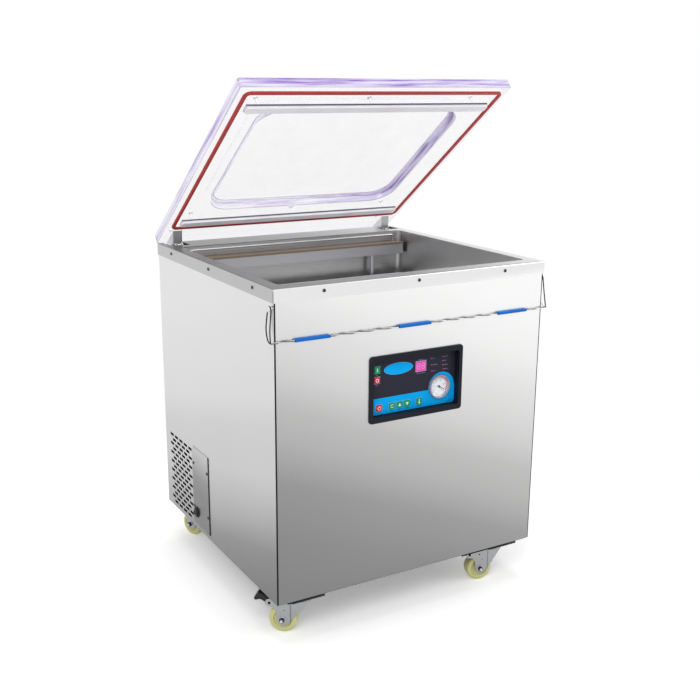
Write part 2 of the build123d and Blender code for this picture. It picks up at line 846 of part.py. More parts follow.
with BuildPart() as hinge_brackets:
    for side in (-1, 1):
        for ear_from, ear_to in ((ear_outer, arm_outer + ear_gap), (ear_inner, ear_inner - ear_sheet)):
            with BuildSketch(side_plane(side * ear_from)):
                with BuildLine():
                    Polyline(
                        (back(bracket_front), bracket_floor),
                        (hinge_y + hinge_boss / 2, bracket_floor),
                        (hinge_y + hinge_boss, hinge_z),
                        (hinge_y - hinge_boss, hinge_z + hinge_boss / 2),
                        (back(bracket_front), hinge_z),
                        close=True,
                    )
                make_face()
                with Locations((hinge_y, hinge_z)):
                    Circle(hinge_boss)
            extrude(amount=side * (ear_to - ear_from))
        with BuildSketch(side_plane(side * ear_outer)):
            with Locations(((back(bracket_front) + hinge_y + hinge_boss / 2) / 2, bracket_floor + arm_sheet / 2)):
                Rectangle(hinge_y + hinge_boss / 2 - back(bracket_front), arm_sheet)
        extrude(amount=-side * (ear_outer - ear_inner))
        with BuildSketch(side_plane(side * ear_outer)):
            with Locations((hinge_y, hinge_z)):
                Circle(hinge_pin)
        extrude(amount=-side * (ear_outer - ear_inner + ear_sheet))

hinge_brackets.part.label = "hinge_brackets"
export_step(hinge_brackets.part, "parts/hinge_brackets.step")

# ---------------------------------------------------------------- gas struts
strut_head_y = hinge_y - strut_lever * math.cos(lean)
strut_head_z = hinge_z + strut_lever * math.sin(lean)
strut_reach = math.hypot(strut_head_y - strut_foot_y, strut_head_z - strut_foot_z)
strut_dir = (0, (strut_head_y - strut_foot_y) / strut_reach, (strut_head_z - strut_foot_z) / strut_reach)
strut_bore = strut_tube - strut_tube_wall
strut_tube_start = strut_eye + 2 * strut_tube_wall


def strut_eye_plane(x):
    """Plane across a strut: its axes run along the strut and square to it."""
    return Plane(origin=(x - strut_eye / 2, strut_foot_y, strut_foot_z), x_dir=strut_dir, z_dir=(1, 0, 0))


def strut_along(x, distance):
    """Plane square to a strut, this far from its foot pin."""
    return Plane(origin=(x, strut_foot_y, strut_foot_z), x_dir=(1, 0, 0), z_dir=strut_dir).offset(distance)


def strut_cylinder(x):
    with BuildPart() as tube:
        with BuildSketch(strut_eye_plane(x)):
            Circle(strut_eye)
            Circle(strut_pin + running_gap, mode=Mode.SUBTRACT)
        extrude(amount=strut_eye)
        with BuildSketch(strut_along(x, strut_eye - strut_tube_wall)):
            Circle(strut_eye / 2)
        extrude(amount=3 * strut_tube_wall)
        with BuildSketch(strut_along(x, strut_tube_start)):
            Circle(strut_tube)
        extrude(amount=strut_tube_length)
        with BuildSketch(strut_along(x, strut_tube_start + strut_gland)):
            Circle(strut_bore)
        extrude(amount=strut_tube_length - 2 * strut_gland, mode=Mode.SUBTRACT)
        with BuildSketch(strut_along(x, strut_tube_start + strut_tube_length - strut_gland)):
            Circle(strut_rod + running_gap)
        extrude(amount=strut_gland, mode=Mode.SUBTRACT)
    return tube


def strut_piston_rod(x):
    piston_at = strut_tube_start + strut_tube_length - 3 * strut_gland
    with BuildPart() as rod:
        with BuildSketch(strut_along(x, piston_at)):
            Circle(strut_rod)
        extrude(amount=strut_reach - strut_eye - piston_at)
        with BuildSketch(strut_along(x, piston_at)):
            Circle(strut_bore - running_gap)
        extrude(amount=strut_gland)
        with BuildSketch(strut_eye_plane(x)):
            with Locations((strut_reach, 0)):
                Circle(strut_eye + strut_eye_slack / 2)
                Circle(strut_pin + strut_eye_slack, mode=Mode.SUBTRACT)
        extrude(amount=strut_eye)
    return rod


left_strut_tube = strut_cylinder(-strut_x)
left_strut_tube.part.label = "left_strut_tube"
export_step(left_strut_tube.part, "parts/left_strut_tube.step")

right_strut_tube = strut_cylinder(strut_x)
right_strut_tube.part.label = "right_strut_tube"
export_step(right_strut_tube.part, "parts/right_strut_tube.step")

left_strut_rod = strut_piston_rod(-strut_x)
left_strut_rod.part.label = "left_strut_rod"
export_step(left_strut_rod.part, "parts/left_strut_rod.step")

right_strut_rod = strut_piston_rod(strut_x)
right_strut_rod.part.label = "right_strut_rod"
export_step(right_strut_rod.part, "parts/right_strut_rod.step")

# ---------------------------------------------------------------- pump, hose and transformer
pump_floor = base_z + base_sheet
pump_size = (200.0, 220.0, 160.0)
pump_from_front = 420.0
pump_inlet_height = 30.0
motor_radius = 75.0
motor_length = 190.0
hose_radius = port_bore + chamber_wall
hose_bend = 60.0
transformer_size = (110.0, 90.0, 100.0)
transformer_place = (230.0, 150.0)
coil_size = (60.0, 130.0, 60.0)

with BuildPart() as vacuum_pump:
    with BuildSketch(level(pump_floor)):
        with Locations((0, back(pump_from_front))):
            RectangleRounded(pump_size[0], pump_size[1], opening_corner)
    extrude(amount=pump_size[2])
    chamfer(vacuum_pump.faces().sort_by(Axis.Z)[-1].edges(), length=opening_corner / 2)
    # motor flanged to the front of the pump, on its foot
    motor_back = pump_from_front - pump_size[1] / 2
    with BuildSketch(front_plane(motor_back)):
        with Locations((0, pump_floor + pump_size[2] / 2)):
            Circle(motor_radius)
    extrude(amount=motor_length)
    chamfer(vacuum_pump.faces().sort_by(Axis.Y)[0].edges(), length=opening_corner / 2)
    with BuildSketch(level(pump_floor)):
        with Locations((0, back(motor_back - motor_length / 2))):
            Rectangle(motor_radius, motor_length / 2)
    extrude(amount=pump_size[2] / 2)
    # inlet
    with BuildSketch(level(pump_floor + pump_size[2])):
        with Locations((0, back(pump_from_front))):
            Circle(hose_radius + chamber_wall)
    extrude(amount=pump_inlet_height)

vacuum_pump.part.label = "vacuum_pump"
export_step(vacuum_pump.part, "parts/vacuum_pump.step")

with BuildPart() as vacuum_hose:
    hose_top = chamber_bottom - port_stub
    hose_foot = pump_floor + pump_size[2] + pump_inlet_height
    hose_drop = hose_top - hose_foot
    with BuildLine() as hose_path:
        FilletPolyline(
            (0, back(rear_bar_y), hose_top),
            (0, back(rear_bar_y), hose_top - 0.35 * hose_drop),
            (0, back(pump_from_front), hose_foot + 0.35 * hose_drop),
            (0, back(pump_from_front), hose_foot),
            radius=hose_bend,
        )
    with BuildSketch(Plane(origin=hose_path.line @ 0, z_dir=hose_path.line % 0)):
        Circle(hose_radius)
        Circle(port_bore, mode=Mode.SUBTRACT)
    sweep(path=hose_path.line)

vacuum_hose.part.label = "vacuum_hose"
export_step(vacuum_hose.part, "parts/vacuum_hose.step")

with BuildPart() as transformer:
    with BuildSketch(level(pump_floor)):
        with Locations((transformer_place[0], back(transformer_place[1]))):
            Rectangle(transformer_size[0], transformer_size[1])
    extrude(amount=transformer_size[2])
    with BuildSketch(level(pump_floor + (transformer_size[2] - coil_size[2]) / 2)):
        with Locations((transformer_place[0], back(transformer_place[1]))):
            RectangleRounded(coil_size[0], coil_size[1], opening_corner)
    extrude(amount=coil_size[2])

transformer.part.label = "transformer"
export_step(transformer.part, "parts/transformer.step")

# ---------------------------------------------------------------- control panel
panel_z = deck_top - frame_below_deck
face_back = face_from_front + face_sheet
gauge_place = (gauge_across, deck_top - gauge_below_deck)
display_place = (display_across, deck_top - display_below_deck)
key_places = {
    "on_key": (-95.6, 205.3),
    "off_key": (-95.6, 228.5),
    "stop_key": (-89.3, key_row_below_deck),
    "set_key": (-56.0, key_row_below_deck),
    "up_key": (-36.0, key_row_below_deck),
    "down_key": (-16.4, key_row_below_deck),
    "heat_key": (16.0, key_row_below_deck),
}

with BuildPart() as control_frame:
    # flange on the front panel
    with BuildSketch(front_plane(panel_inset)):
        with Locations((0, panel_z)):
            RectangleRounded(frame_width, frame_tall, frame_corner)
    extrude(amount=frame_proud)
    fillet(control_frame.faces().sort_by(Axis.Y)[0].edges(), radius=frame_proud / 2)
    # tub behind it, with a lip for the face plate
    with BuildSketch(front_plane(face_back + tub_lip)):
        with Locations((0, panel_z)):
            RectangleRounded(window_width + 2 * tub_wall, window_tall + 2 * tub_wall, window_corner)
    extrude(amount=face_back + tub_lip - panel_inset)
    with BuildSketch(front_plane(face_back)):
        with Locations((0, panel_z)):
            RectangleRounded(window_width, window_tall, window_corner)
    extrude(amount=face_back + frame_proud, mode=Mode.SUBTRACT)
    with BuildSketch(front_plane(face_back + tub_lip)):
        with Locations((0, panel_z)):
            RectangleRounded(window_width - 2 * tub_lip, window_tall - 2 * tub_lip, window_corner)
    extrude(amount=tub_lip, mode=Mode.SUBTRACT)

control_frame.part.label = "control_frame"
export_step(control_frame.part, "parts/control_frame.step")

with BuildPart() as control_face:
    with BuildSketch(front_plane(face_back)):
        with Locations((0, panel_z)):
            RectangleRounded(window_width - 2 * seat_gap, window_tall - 2 * seat_gap, window_corner)
        with Locations(*[(x, deck_top - below) for x, below in key_places.values()]):
            RectangleRounded(
                key_width + 2 * seat_gap, key_tall + 2 * seat_gap, key_corner, mode=Mode.SUBTRACT
            )
        with Locations(gauge_place):
            Circle(gauge_can + seat_gap, mode=Mode.SUBTRACT)
        with Locations(display_place):
            Rectangle(display_width, display_tall, mode=Mode.SUBTRACT)
    extrude(amount=face_sheet)

control_face.part.label = "control_face"
export_step(control_face.part, "parts/control_face.step")

with BuildPart() as display_window:
    with BuildSketch(front_plane(face_back)):
        with Locations(display_place):
            Rectangle(display_width, display_tall)
    extrude(amount=face_sheet + seat_gap)

display_window.part.label = "display_window"
export_step(display_window.part, "parts/display_window.step")

for key_name, (key_x, key_below) in key_places.items():
    with BuildPart() as key:
        with BuildSketch(front_plane(face_back)):
            with Locations((key_x, deck_top - key_below)):
                RectangleRounded(key_width, key_tall, key_corner)
        extrude(amount=face_sheet + key_proud)
        fillet(key.faces().sort_by(Axis.Y)[0].edges(), radius=key_proud / 3)
    key.part.label = key_name
    export_step(key.part, f"parts/{key_name}.step")

with BuildPart() as gauge_case:
    with BuildSketch(front_plane(face_back + gauge_can)):
        with Locations(gauge_place):
            Circle(gauge_can)
    extrude(amount=gauge_can + face_sheet)
    with BuildSketch(front_plane(face_from_front)):
        with Locations(gauge_place):
            Circle(gauge_bezel)
    extrude(amount=gauge_proud)
    fillet(gauge_case.faces().sort_by(Axis.Y)[0].edges(), radius=gauge_proud / 3)
    with BuildSketch(front_plane(face_from_front + dial_sunk)):
        with Locations(gauge_place):
            Circle(gauge_bore)
    extrude(amount=dial_sunk + gauge_proud, mode=Mode.SUBTRACT)
    # bearing of the needle spindle
    with BuildSketch(front_plane(face_from_front + 2 * dial_sunk)):
        with Locations(gauge_place):
            Circle(1 + running_gap)
    extrude(amount=dial_sunk, mode=Mode.SUBTRACT)

gauge_case.part.label = "gauge_case"
export_step(gauge_case.part, "parts/gauge_case.step")

with BuildPart() as gauge_glass:
    with BuildSketch(front_plane(face_from_front - gauge_proud + 2 * gauge_glass_sheet)):
        with Locations(gauge_place):
            Circle(gauge_bore)
    extrude(amount=gauge_glass_sheet)

gauge_glass.part.label = "gauge_glass"
export_step(gauge_glass.part, "parts/gauge_glass.step")

with BuildPart() as gauge_needle:
    with BuildSketch(front_plane(face_from_front + 2 * dial_sunk - seat_gap)):
        with Locations(gauge_place):
            Circle(needle_shaft)
    extrude(amount=2 * dial_sunk)
    with BuildSketch(front_plane(face_from_front)):
        with Locations(gauge_place):
            Circle(needle_hub)
    extrude(amount=needle_shaft)
    tip_x = math.cos(math.radians(needle_rest_angle))
    tip_z = math.sin(math.radians(needle_rest_angle))
    with BuildSketch(front_plane(face_from_front)):
        with BuildLine():
            Polyline(
                (gauge_place[0] + needle_length * tip_x, gauge_place[1] + needle_length * tip_z),
                (gauge_place[0] - tip_z, gauge_place[1] + tip_x),
                (gauge_place[0] - needle_length / 3 * tip_x, gauge_place[1] - needle_length / 3 * tip_z),
                (gauge_place[0] + tip_z, gauge_place[1] - tip_x),
                close=True,
            )
        make_face()
    extrude(amount=0.8)

gauge_needle.part.label = "gauge_needle"
export_step(gauge_needle.part, "parts/gauge_needle.step")

# ---------------------------------------------------------------- service cover and cable gland
gland_place = (back(gland_from_front), deck_top - gland_below_deck)

with BuildPart() as service_cover:
    with BuildSketch(side_plane(-side_out)):
        with Locations((cover_mid_y, cover_mid_z)):
            RectangleRounded(cover_width, cover_tall, screw_head)
            with GridLocations(cover_screw_spacing[0], cover_screw_spacing[1], 2, 2):
                Circle(screw_hole, mode=Mode.SUBTRACT)
        with Locations(gland_place):
            Circle(gland_radius / 2, mode=Mode.SUBTRACT)
    extrude(amount=-cover_sheet)

service_cover.part.label = "service_cover"
export_step(service_cover.part, "parts/service_cover.step")

with BuildPart() as cable_gland:
    with BuildSketch(side_plane(-side_out - cover_sheet)):
        with Locations(gland_place):
            Circle(gland_radius)
    extrude(amount=-gland_proud / 3)
    with BuildSketch(side_plane(-side_out - cover_sheet)):
        with Locations(gland_place):
            Circle(0.8 * gland_radius)
    extrude(amount=-gland_proud)
    fillet(cable_gland.faces().sort_by(Axis.X)[0].edges(), radius=gland_radius / 4)
    with BuildSketch(side_plane(-side_out - cover_sheet)):
        with Locations(gland_place):
            Circle(gland_radius / 2)
    extrude(amount=cover_sheet + gland_proud / 2)
    with BuildSketch(side_plane(-side_out - cover_sheet - gland_proud)):
        with Locations(gland_place):
            Circle(gland_bore)
    extrude(amount=cover_sheet + 2 * gland_proud, mode=Mode.SUBTRACT)

cable_gland.part.label = "cable_gland"
export_step(cable_gland.part, "parts/cable_gland.step")

with BuildPart() as cabinet_screws:
    with BuildSketch(front_plane(0)):
        with Locations(*front_screws):
            Circle(screw_head)
    extrude(amount=screw_head_height)
    with BuildSketch(front_plane(0)):
        with Locations(*front_screws):
            Circle(screw_shank)
    extrude(amount=-screw_depth)
    for side in (-1, 1):
        with BuildSketch(side_plane(side * rim_width / 2)):
            with Locations(*side_screws):
                Circle(screw_head)
        extrude(amount=side * screw_head_height)
        with BuildSketch(side_plane(side * rim_width / 2)):
            with Locations(*side_screws):
                Circle(screw_shank)
        extrude(amount=-side * screw_depth)
    cover_face = side_plane(-side_out - cover_sheet)
    for cover_radius, cover_reach in ((screw_head, -screw_head_height), (screw_shank, cover_sheet)):
        with BuildSketch(cover_face):
            with Locations((cover_mid_y, cover_mid_z)):
                with GridLocations(cover_screw_spacing[0], cover_screw_spacing[1], 2, 2):
                    Circle(cover_radius)
        extrude(amount=cover_reach)

cabinet_screws.part.label = "cabinet_screws"
export_step(cabinet_screws.part, "parts/cabinet_screws.step")

# ---------------------------------------------------------------- bail
run_y = back(bail_run_from_front)
run_z = deck_top - bail_run_below_deck
pivot_y = back(bail_pivot_from_front)
pivot_z = deck_top - bail_pivot_below_deck
loop_top = bail_stud + seat_gap + bail_wire_radius

with BuildPart() as bail_wire:
    with BuildSketch(side_plane(-bail_half_width)):
        with Locations((run_y, run_z)):
            Circle(bail_run_radius)
    extrude(amount=2 * bail_half_width)
    for side in (-1, 1):
        # the loop's plane leans outward towards the run
        arm_drop = math.hypot(bail_half_width - bail_stand_off, pivot_z - run_z)
        arm_up = (-side * (bail_half_width - bail_stand_off) / arm_drop, 0, (pivot_z - run_z) / arm_drop)
        loop_normal = (arm_up[2], 0, -arm_up[0])
        loop_plane = Plane(origin=(side * bail_stand_off, pivot_y, pivot_z), x_dir=(0, 1, 0), z_dir=loop_normal)
        wire_spread = 1.3 * bail_wire_radius
        front_end = (run_y - pivot_y - wire_spread, -arm_drop)
        rear_end = (run_y - pivot_y + wire_spread, -arm_drop)
        with BuildLine(loop_plane) as loop_path:
            FilletPolyline(
                front_end,
                (-bail_loop_half, loop_top),
                (bail_loop_half, loop_top),
                (1.6 * bail_loop_half, -0.72 * arm_drop),
                rear_end,
                radius=[0.8 * bail_loop_half, 0.8 * bail_loop_half, 2 * bail_loop_half],
            )
        with BuildSketch(Plane(origin=loop_path.line @ 0, z_dir=loop_path.line % 0)):
            Circle(bail_wire_radius)
        sweep(path=loop_path.line)
        with Locations((side * bail_half_width, run_y, run_z)):
            Sphere(sleeve_radius - bail_joint_step)

bail_wire.part.label = "bail_wire"
export_step(bail_wire.part, "parts/bail_wire.step")

with BuildPart() as bail_sleeves:
    for sleeve_x in sleeve_centres:
        with BuildSketch(side_plane(sleeve_x - sleeve_length / 2)):
            with Locations((run_y, run_z)):
                Circle(sleeve_radius)
                Circle(bail_run_radius + running_gap, mode=Mode.SUBTRACT)
        extrude(amount=sleeve_length)

bail_sleeves.part.label = "bail_sleeves"
export_step(bail_sleeves.part, "parts/bail_sleeves.step")

# ---------------------------------------------------------------- castors
castor_x = rim_width / 2 - castor_inset_x
castor_places = {
    "front_left": (-castor_x, back(castor_inset_front)),
    "front_right": (castor_x, back(castor_inset_front)),
    "rear_left": (-castor_x, back(rim_depth - castor_inset_rear)),
    "rear_right": (castor_x, back(rim_depth - castor_inset_rear)),
}
castor_plate_z = base_z - castor_plate_sheet
race_z = castor_plate_z - race_height
fork_top = race_z - seat_gap
bridge_z = fork_top - crown_sheet
cheek_in = wheel_width / 2 + wheel_side_gap
cheek_out = cheek_in + fork_sheet
brake_pivot = (castor_trail + brake_pivot_out, wheel_radius + brake_pivot_up)
shoe_reach = math.hypot(brake_pivot_out, brake_pivot_up) - wheel_radius - 2 * seat_gap
shoe_angle = math.atan2(-brake_pivot_up, -brake_pivot_out) + math.radians(brake_travel)
shoe_tip = (
    brake_pivot[0] + shoe_reach * math.cos(shoe_angle),
    brake_pivot[1] + shoe_reach * math.sin(shoe_angle),
)
pedal_places = ((0.5, 1.0), (0.75, 1.0), (1.0, 0.35), (0.9, 0.1), (0.6, 0.3))

with BuildPart() as castor_plates:
    with BuildSketch(level(castor_plate_z)):
        with Locations(*castor_places.values()):
            RectangleRounded(castor_plate_length, castor_plate_width, screw_head)
    extrude(amount=castor_plate_sheet)
    with BuildSketch(level(race_z)):
        with Locations(*castor_places.values()):
            Circle(race_radius)
    extrude(amount=race_height)
    fillet(castor_plates.faces().group_by(Axis.Z)[0].edges(), radius=race_height / 3)
    with BuildSketch(level(race_z)):
        with Locations(*castor_places.values()):
            Circle(kingpin_radius + running_gap)
    extrude(amount=race_height + castor_plate_sheet, mode=Mode.SUBTRACT)

castor_plates.part.label = "castor_plates"
export_step(castor_plates.part, "parts/castor_plates.step")

for corner, (castor_cx, castor_cy) in castor_places.items():
    heading = math.radians(castor_headings[corner])
    trailing = (math.cos(heading), math.sin(heading), 0)
    across = (math.sin(heading), -math.cos(heading), 0)
    castor_level = Plane(origin=(castor_cx, castor_cy, 0), x_dir=trailing, z_dir=(0, 0, 1))
    castor_side = Plane(origin=(castor_cx, castor_cy, 0), x_dir=trailing, z_dir=across)

    with BuildPart() as fork:
        for cheek_at in (-cheek_out, cheek_in):
            with BuildSketch(castor_side.offset(cheek_at)):
                with BuildLine():
                    Polyline(
                        (-race_radius, fork_top),
                        (-race_radius, bridge_z - 2 * crown_sheet),
                        (castor_trail - 2.5 * axle_radius, wheel_radius - 1.5 * axle_radius),
                        (castor_trail + 2.5 * axle_radius, wheel_radius - 1.5 * axle_radius),
                        (castor_trail + 3 * axle_radius, brake_pivot[1] - 2 * brake_ear),
                        (brake_pivot[0], brake_pivot[1] - brake_ear),
                        (brake_pivot[0], brake_pivot[1] + brake_ear),
                        (castor_trail + 2 * axle_radius, fork_top),
                        close=True,
                    )
                make_face()
                with Locations(brake_pivot):
                    Circle(brake_ear)
                with Locations((castor_trail, wheel_radius)):
                    Circle(3 * axle_radius)
            extrude(amount=fork_sheet)
        with BuildSketch(castor_level.offset(bridge_z)):
            with Locations(((castor_trail + 2 * axle_radius - race_radius) / 2, 0)):
                Rectangle(castor_trail + 2 * axle_radius + race_radius, 2 * cheek_out)
        extrude(amount=fork_top - bridge_z)
        # kingpin
        with BuildSketch(castor_level.offset(bridge_z)):
            Circle(kingpin_radius)
        extrude(amount=base_z - bridge_z - seat_gap)
        # axle with its nuts, and the pin of the brake pedal
        with BuildSketch(castor_side.offset(-cheek_out)):
            with Locations((castor_trail, wheel_radius)):
                Circle(axle_radius)
            with Locations(brake_pivot):
                Circle(brake_pin)
        extrude(amount=2 * cheek_out)
        with BuildSketch(castor_side.offset(-cheek_out - axle_radius)):
            with Locations((castor_trail, wheel_radius)):
                RegularPolygon(2 * axle_radius, 6)
        extrude(amount=axle_radius)
        with BuildSketch(castor_side.offset(cheek_out)):
            with Locations((castor_trail, wheel_radius)):
                RegularPolygon(2 * axle_radius, 6)
        extrude(amount=axle_radius)
    fork.part.label = f"{corner}_fork"
    export_step(fork.part, f"parts/{corner}_fork.step")

    with BuildPart() as wheel:
        with BuildSketch(castor_side.offset(-wheel_width / 2)):
            with Locations((castor_trail, wheel_radius)):
                Circle(wheel_radius)
        extrude(amount=wheel_width)
        fillet(wheel.edges().filter_by(GeomType.CIRCLE), radius=wheel_round)
        for recess_at in (-wheel_width / 2, wheel_width / 2 - hub_sunk):
            with BuildSketch(castor_side.offset(recess_at)):
                with Locations((castor_trail, wheel_radius)):
                    Circle(hub_radius)
                    Circle(2 * axle_radius, mode=Mode.SUBTRACT)
            extrude(amount=hub_sunk, mode=Mode.SUBTRACT)
        with BuildSketch(castor_side.offset(-wheel_width / 2)):
            with Locations((castor_trail, wheel_radius)):
                Circle(axle_radius + running_gap)
        extrude(amount=wheel_width, mode=Mode.SUBTRACT)
    wheel.part.label = f"{corner}_wheel"
    export_step(wheel.part, f"parts/{corner}_wheel.step")

    with BuildPart() as brake:
        pedal_half = cheek_in - running_gap * 10
        with BuildSketch(castor_side.offset(-pedal_half)):
            with BuildLine():
                Polyline(
                    (brake_pivot[0] - 0.7 * brake_ear, brake_pivot[1] + 0.4 * brake_ear),
                    *[(brake_pivot[0] + u * brake_reach, brake_pivot[1] + z * brake_rise) for u, z in pedal_places],
                    (brake_pivot[0] + 0.7 * brake_ear, brake_pivot[1] - 0.6 * brake_ear),
                    shoe_tip,
                    close=True,
                )
            make_face()
            with Locations(brake_pivot):
                Circle(0.75 * brake_ear)
                Circle(brake_pin + running_gap, mode=Mode.SUBTRACT)
        extrude(amount=2 * pedal_half)
    brake.part.label = f"{corner}_brake"
    export_step(brake.part, f"parts/{corner}_brake.step")
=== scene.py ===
"""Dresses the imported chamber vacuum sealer: materials, the clear lid, the panel's print, the gauge, the
screws, the wire bail, the castors and a plain studio.

Places handed to Blender are in metres in the CAD frame. Named sizes are in mm unless a comment says m.
"""
import json
import math

import bmesh
import bpy
from mathutils import Matrix, Vector


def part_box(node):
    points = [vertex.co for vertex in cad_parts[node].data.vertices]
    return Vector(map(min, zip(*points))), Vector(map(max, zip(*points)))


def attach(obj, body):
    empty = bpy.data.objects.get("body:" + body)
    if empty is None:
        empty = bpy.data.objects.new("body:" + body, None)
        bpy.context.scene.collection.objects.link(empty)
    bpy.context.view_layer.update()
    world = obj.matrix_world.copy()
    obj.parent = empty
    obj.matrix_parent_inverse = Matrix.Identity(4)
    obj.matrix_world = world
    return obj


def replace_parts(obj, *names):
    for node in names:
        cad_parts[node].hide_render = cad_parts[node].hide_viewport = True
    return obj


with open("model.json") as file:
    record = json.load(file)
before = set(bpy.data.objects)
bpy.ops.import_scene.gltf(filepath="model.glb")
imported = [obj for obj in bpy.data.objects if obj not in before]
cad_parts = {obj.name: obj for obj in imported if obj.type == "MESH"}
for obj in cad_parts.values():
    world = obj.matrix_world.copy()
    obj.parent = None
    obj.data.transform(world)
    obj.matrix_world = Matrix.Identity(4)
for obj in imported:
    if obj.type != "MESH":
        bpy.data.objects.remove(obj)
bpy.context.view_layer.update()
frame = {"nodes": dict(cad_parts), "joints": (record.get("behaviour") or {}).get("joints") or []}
MM = 0.001
UP = Vector((0, 0, 1))

# ---------------- places taken from the frame
joint = {j["name"]: j for j in frame["joints"]}
nodes = frame["nodes"]


def box(node):
    low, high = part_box(node)
    return Vector(low), Vector(high)


hinge = Vector(joint["lid_hinge"]["pos_m"])
lean = math.radians(joint["lid_hinge"]["range_deg"][1])
deck_low, deck_high = box("deck")
DECK = deck_high.z  # m, the height of the deck
FRONT = deck_low.y  # m, the deck's front face


def lid_point(x, u, w):
    """Place on the open lid: x across, u rearward along it and w outward from the hinge axis, in mm."""
    x, u, w = x * MM, u * MM, w * MM
    return Vector((
        x,
        hinge.y + u * math.cos(lean) + w * math.sin(lean),
        hinge.z - u * math.sin(lean) + w * math.cos(lean),
    ))


def on_front(x, z, y):
    """Place on the front: x across and z above the deck in mm, y in metres."""
    return Vector((x * MM, y, DECK + z * MM))


# ---------------- camera
SENSOR = 36.0
LENS = 51.87
CAMERA_PLACE = (-1.2076, -1.7689, 0.4025)  # m, from the middle of the deck's front edge
YAW, PITCH, ROLL = -0.52965, -0.26182, 0.00747
camera_data = bpy.data.cameras.new("camera")
camera_data.sensor_width = SENSOR
camera_data.lens = LENS
camera = bpy.data.objects.new("camera", camera_data)
bpy.context.collection.objects.link(camera)
camera.matrix_world = (
    Matrix.Translation((CAMERA_PLACE[0], FRONT + CAMERA_PLACE[1], DECK + CAMERA_PLACE[2]))
    @ Matrix.Rotation(YAW, 4, "Z")
    @ Matrix.Rotation(math.pi / 2 + PITCH, 4, "X")
    @ Matrix.Rotation(ROLL, 4, "Z")
)
bpy.context.scene.camera = camera


# ---------------- colours and shader nodes
def lin(*rgb):
    """sRGB 0-255 to a linear colour."""
    out = []
    for value in rgb:
        c = value / 255
        out.append(c / 12.92 if c <= 0.04045 else ((c + 0.055) / 1.055) ** 2.4)
    return (*out, 1.0)


def grey(value):
    return lin(value, value, value)


def shades(colour, share):
    """The colour a share darker, and a share lighter."""
    dark = tuple(c * (1 - share) for c in colour[:3]) + (1.0,)
    light = tuple(min(1.0, c * (1 + share)) for c in colour[:3]) + (1.0,)
    return dark, light


def new_material(name):
    mat = bpy.data.materials.new(name)
    mat.use_nodes = True
    shader = mat.node_tree.nodes["Principled BSDF"]
    return mat, mat.node_tree.nodes, mat.node_tree.links, shader


def coords(tree_nodes, links, scale=(1, 1, 1), rotate=(0, 0, 0)):
    """Object coordinates, turned and scaled."""
    where = tree_nodes.new("ShaderNodeTexCoord")
    mapping = tree_nodes.new("ShaderNodeMapping")
    mapping.inputs["Scale"].default_value = scale
    mapping.inputs["Rotation"].default_value = rotate
    links.new(where.outputs["Object"], mapping.inputs["Vector"])
    return mapping.outputs["Vector"]


def noise(tree_nodes, links, vector, scale, detail=3.0, rough=0.5):
    node = tree_nodes.new("ShaderNodeTexNoise")
    node.inputs["Scale"].default_value = scale
    node.inputs["Detail"].default_value = detail
    node.inputs["Roughness"].default_value = rough
    links.new(vector, node.inputs["Vector"])
    return node.outputs["Fac"]


def spread(tree_nodes, links, value, low, high, from_low=0.3, from_high=0.7):
    """The value's range from_low to from_high, spread over low to high."""
    node = tree_nodes.new("ShaderNodeMapRange")
    node.inputs["From Min"].default_value = from_low
    node.inputs["From Max"].default_value = from_high
    node.inputs["To Min"].default_value = low
    node.inputs["To Max"].default_value = high
    links.new(value, node.inputs["Value"])
    return node.outputs["Result"]


def blend(tree_nodes, links, factor, one, two, kind="RGBA", way="MIX"):
    """Mix node. Each of the factor and the two ends is another node's output or a plain value."""
    node = tree_nodes.new("ShaderNodeMix")
    node.data_type = kind
    node.blend_type = way
    for name, source in (("Factor", factor), ("A", one), ("B", two)):
        if isinstance(source, bpy.types.NodeSocket):
            links.new(source, node.inputs[name])
        else:
            node.inputs[name].default_value = source
    return node.outputs["Result"]


def maths(tree_nodes, links, operation, one, two):
    node = tree_nodes.new("ShaderNodeMath")
    node.operation = operation
    links.new(one, node.inputs[0])
    links.new(two, node.inputs[1])
    return node.outputs["Value"]


def mixed_shaders(tree_nodes, links, factor, one, two):
    node = tree_nodes.new("ShaderNodeMixShader")
    for source, socket in zip((factor, one, two), node.inputs):
        links.new(source, socket)
    return node.outputs["Shader"]


def bump(tree_nodes, links, shader, height, strength, distance=0.0003):
    node = tree_nodes.new("ShaderNodeBump")
    node.inputs["Strength"].default_value = strength
    node.inputs["Distance"].default_value = distance
    links.new(height, node.inputs["Height"])
    links.new(node.outputs["Normal"], shader.inputs["Normal"])


def painted_shading(tree_nodes, links, slope, tones):
    """Painted shade and light of a sheet by its place, standing in for the reflections the sheet would show:
    tones are (place along the slope in m, grey 0-255).
    """
    where = tree_nodes.new("ShaderNodeTexCoord")
    along = tree_nodes.new("ShaderNodeVectorMath")
    along.operation = "DOT_PRODUCT"
    along.inputs[1].default_value = slope
    links.new(where.outputs["Object"], along.inputs[0])
    first, last = tones[0][0], tones[-1][0]
    ramp = tree_nodes.new("ShaderNodeValToRGB")
    while len(ramp.color_ramp.elements) < len(tones):
        ramp.color_ramp.elements.new(0.5)
    for element, (place, value) in zip(ramp.color_ramp.elements, tones):
        element.position = (place - first) / (last - first)
        element.color = grey(value)
    links.new(spread(tree_nodes, links, along.outputs["Value"], 0, 1, first, last), ramp.inputs["Fac"])
    return ramp.outputs["Color"]


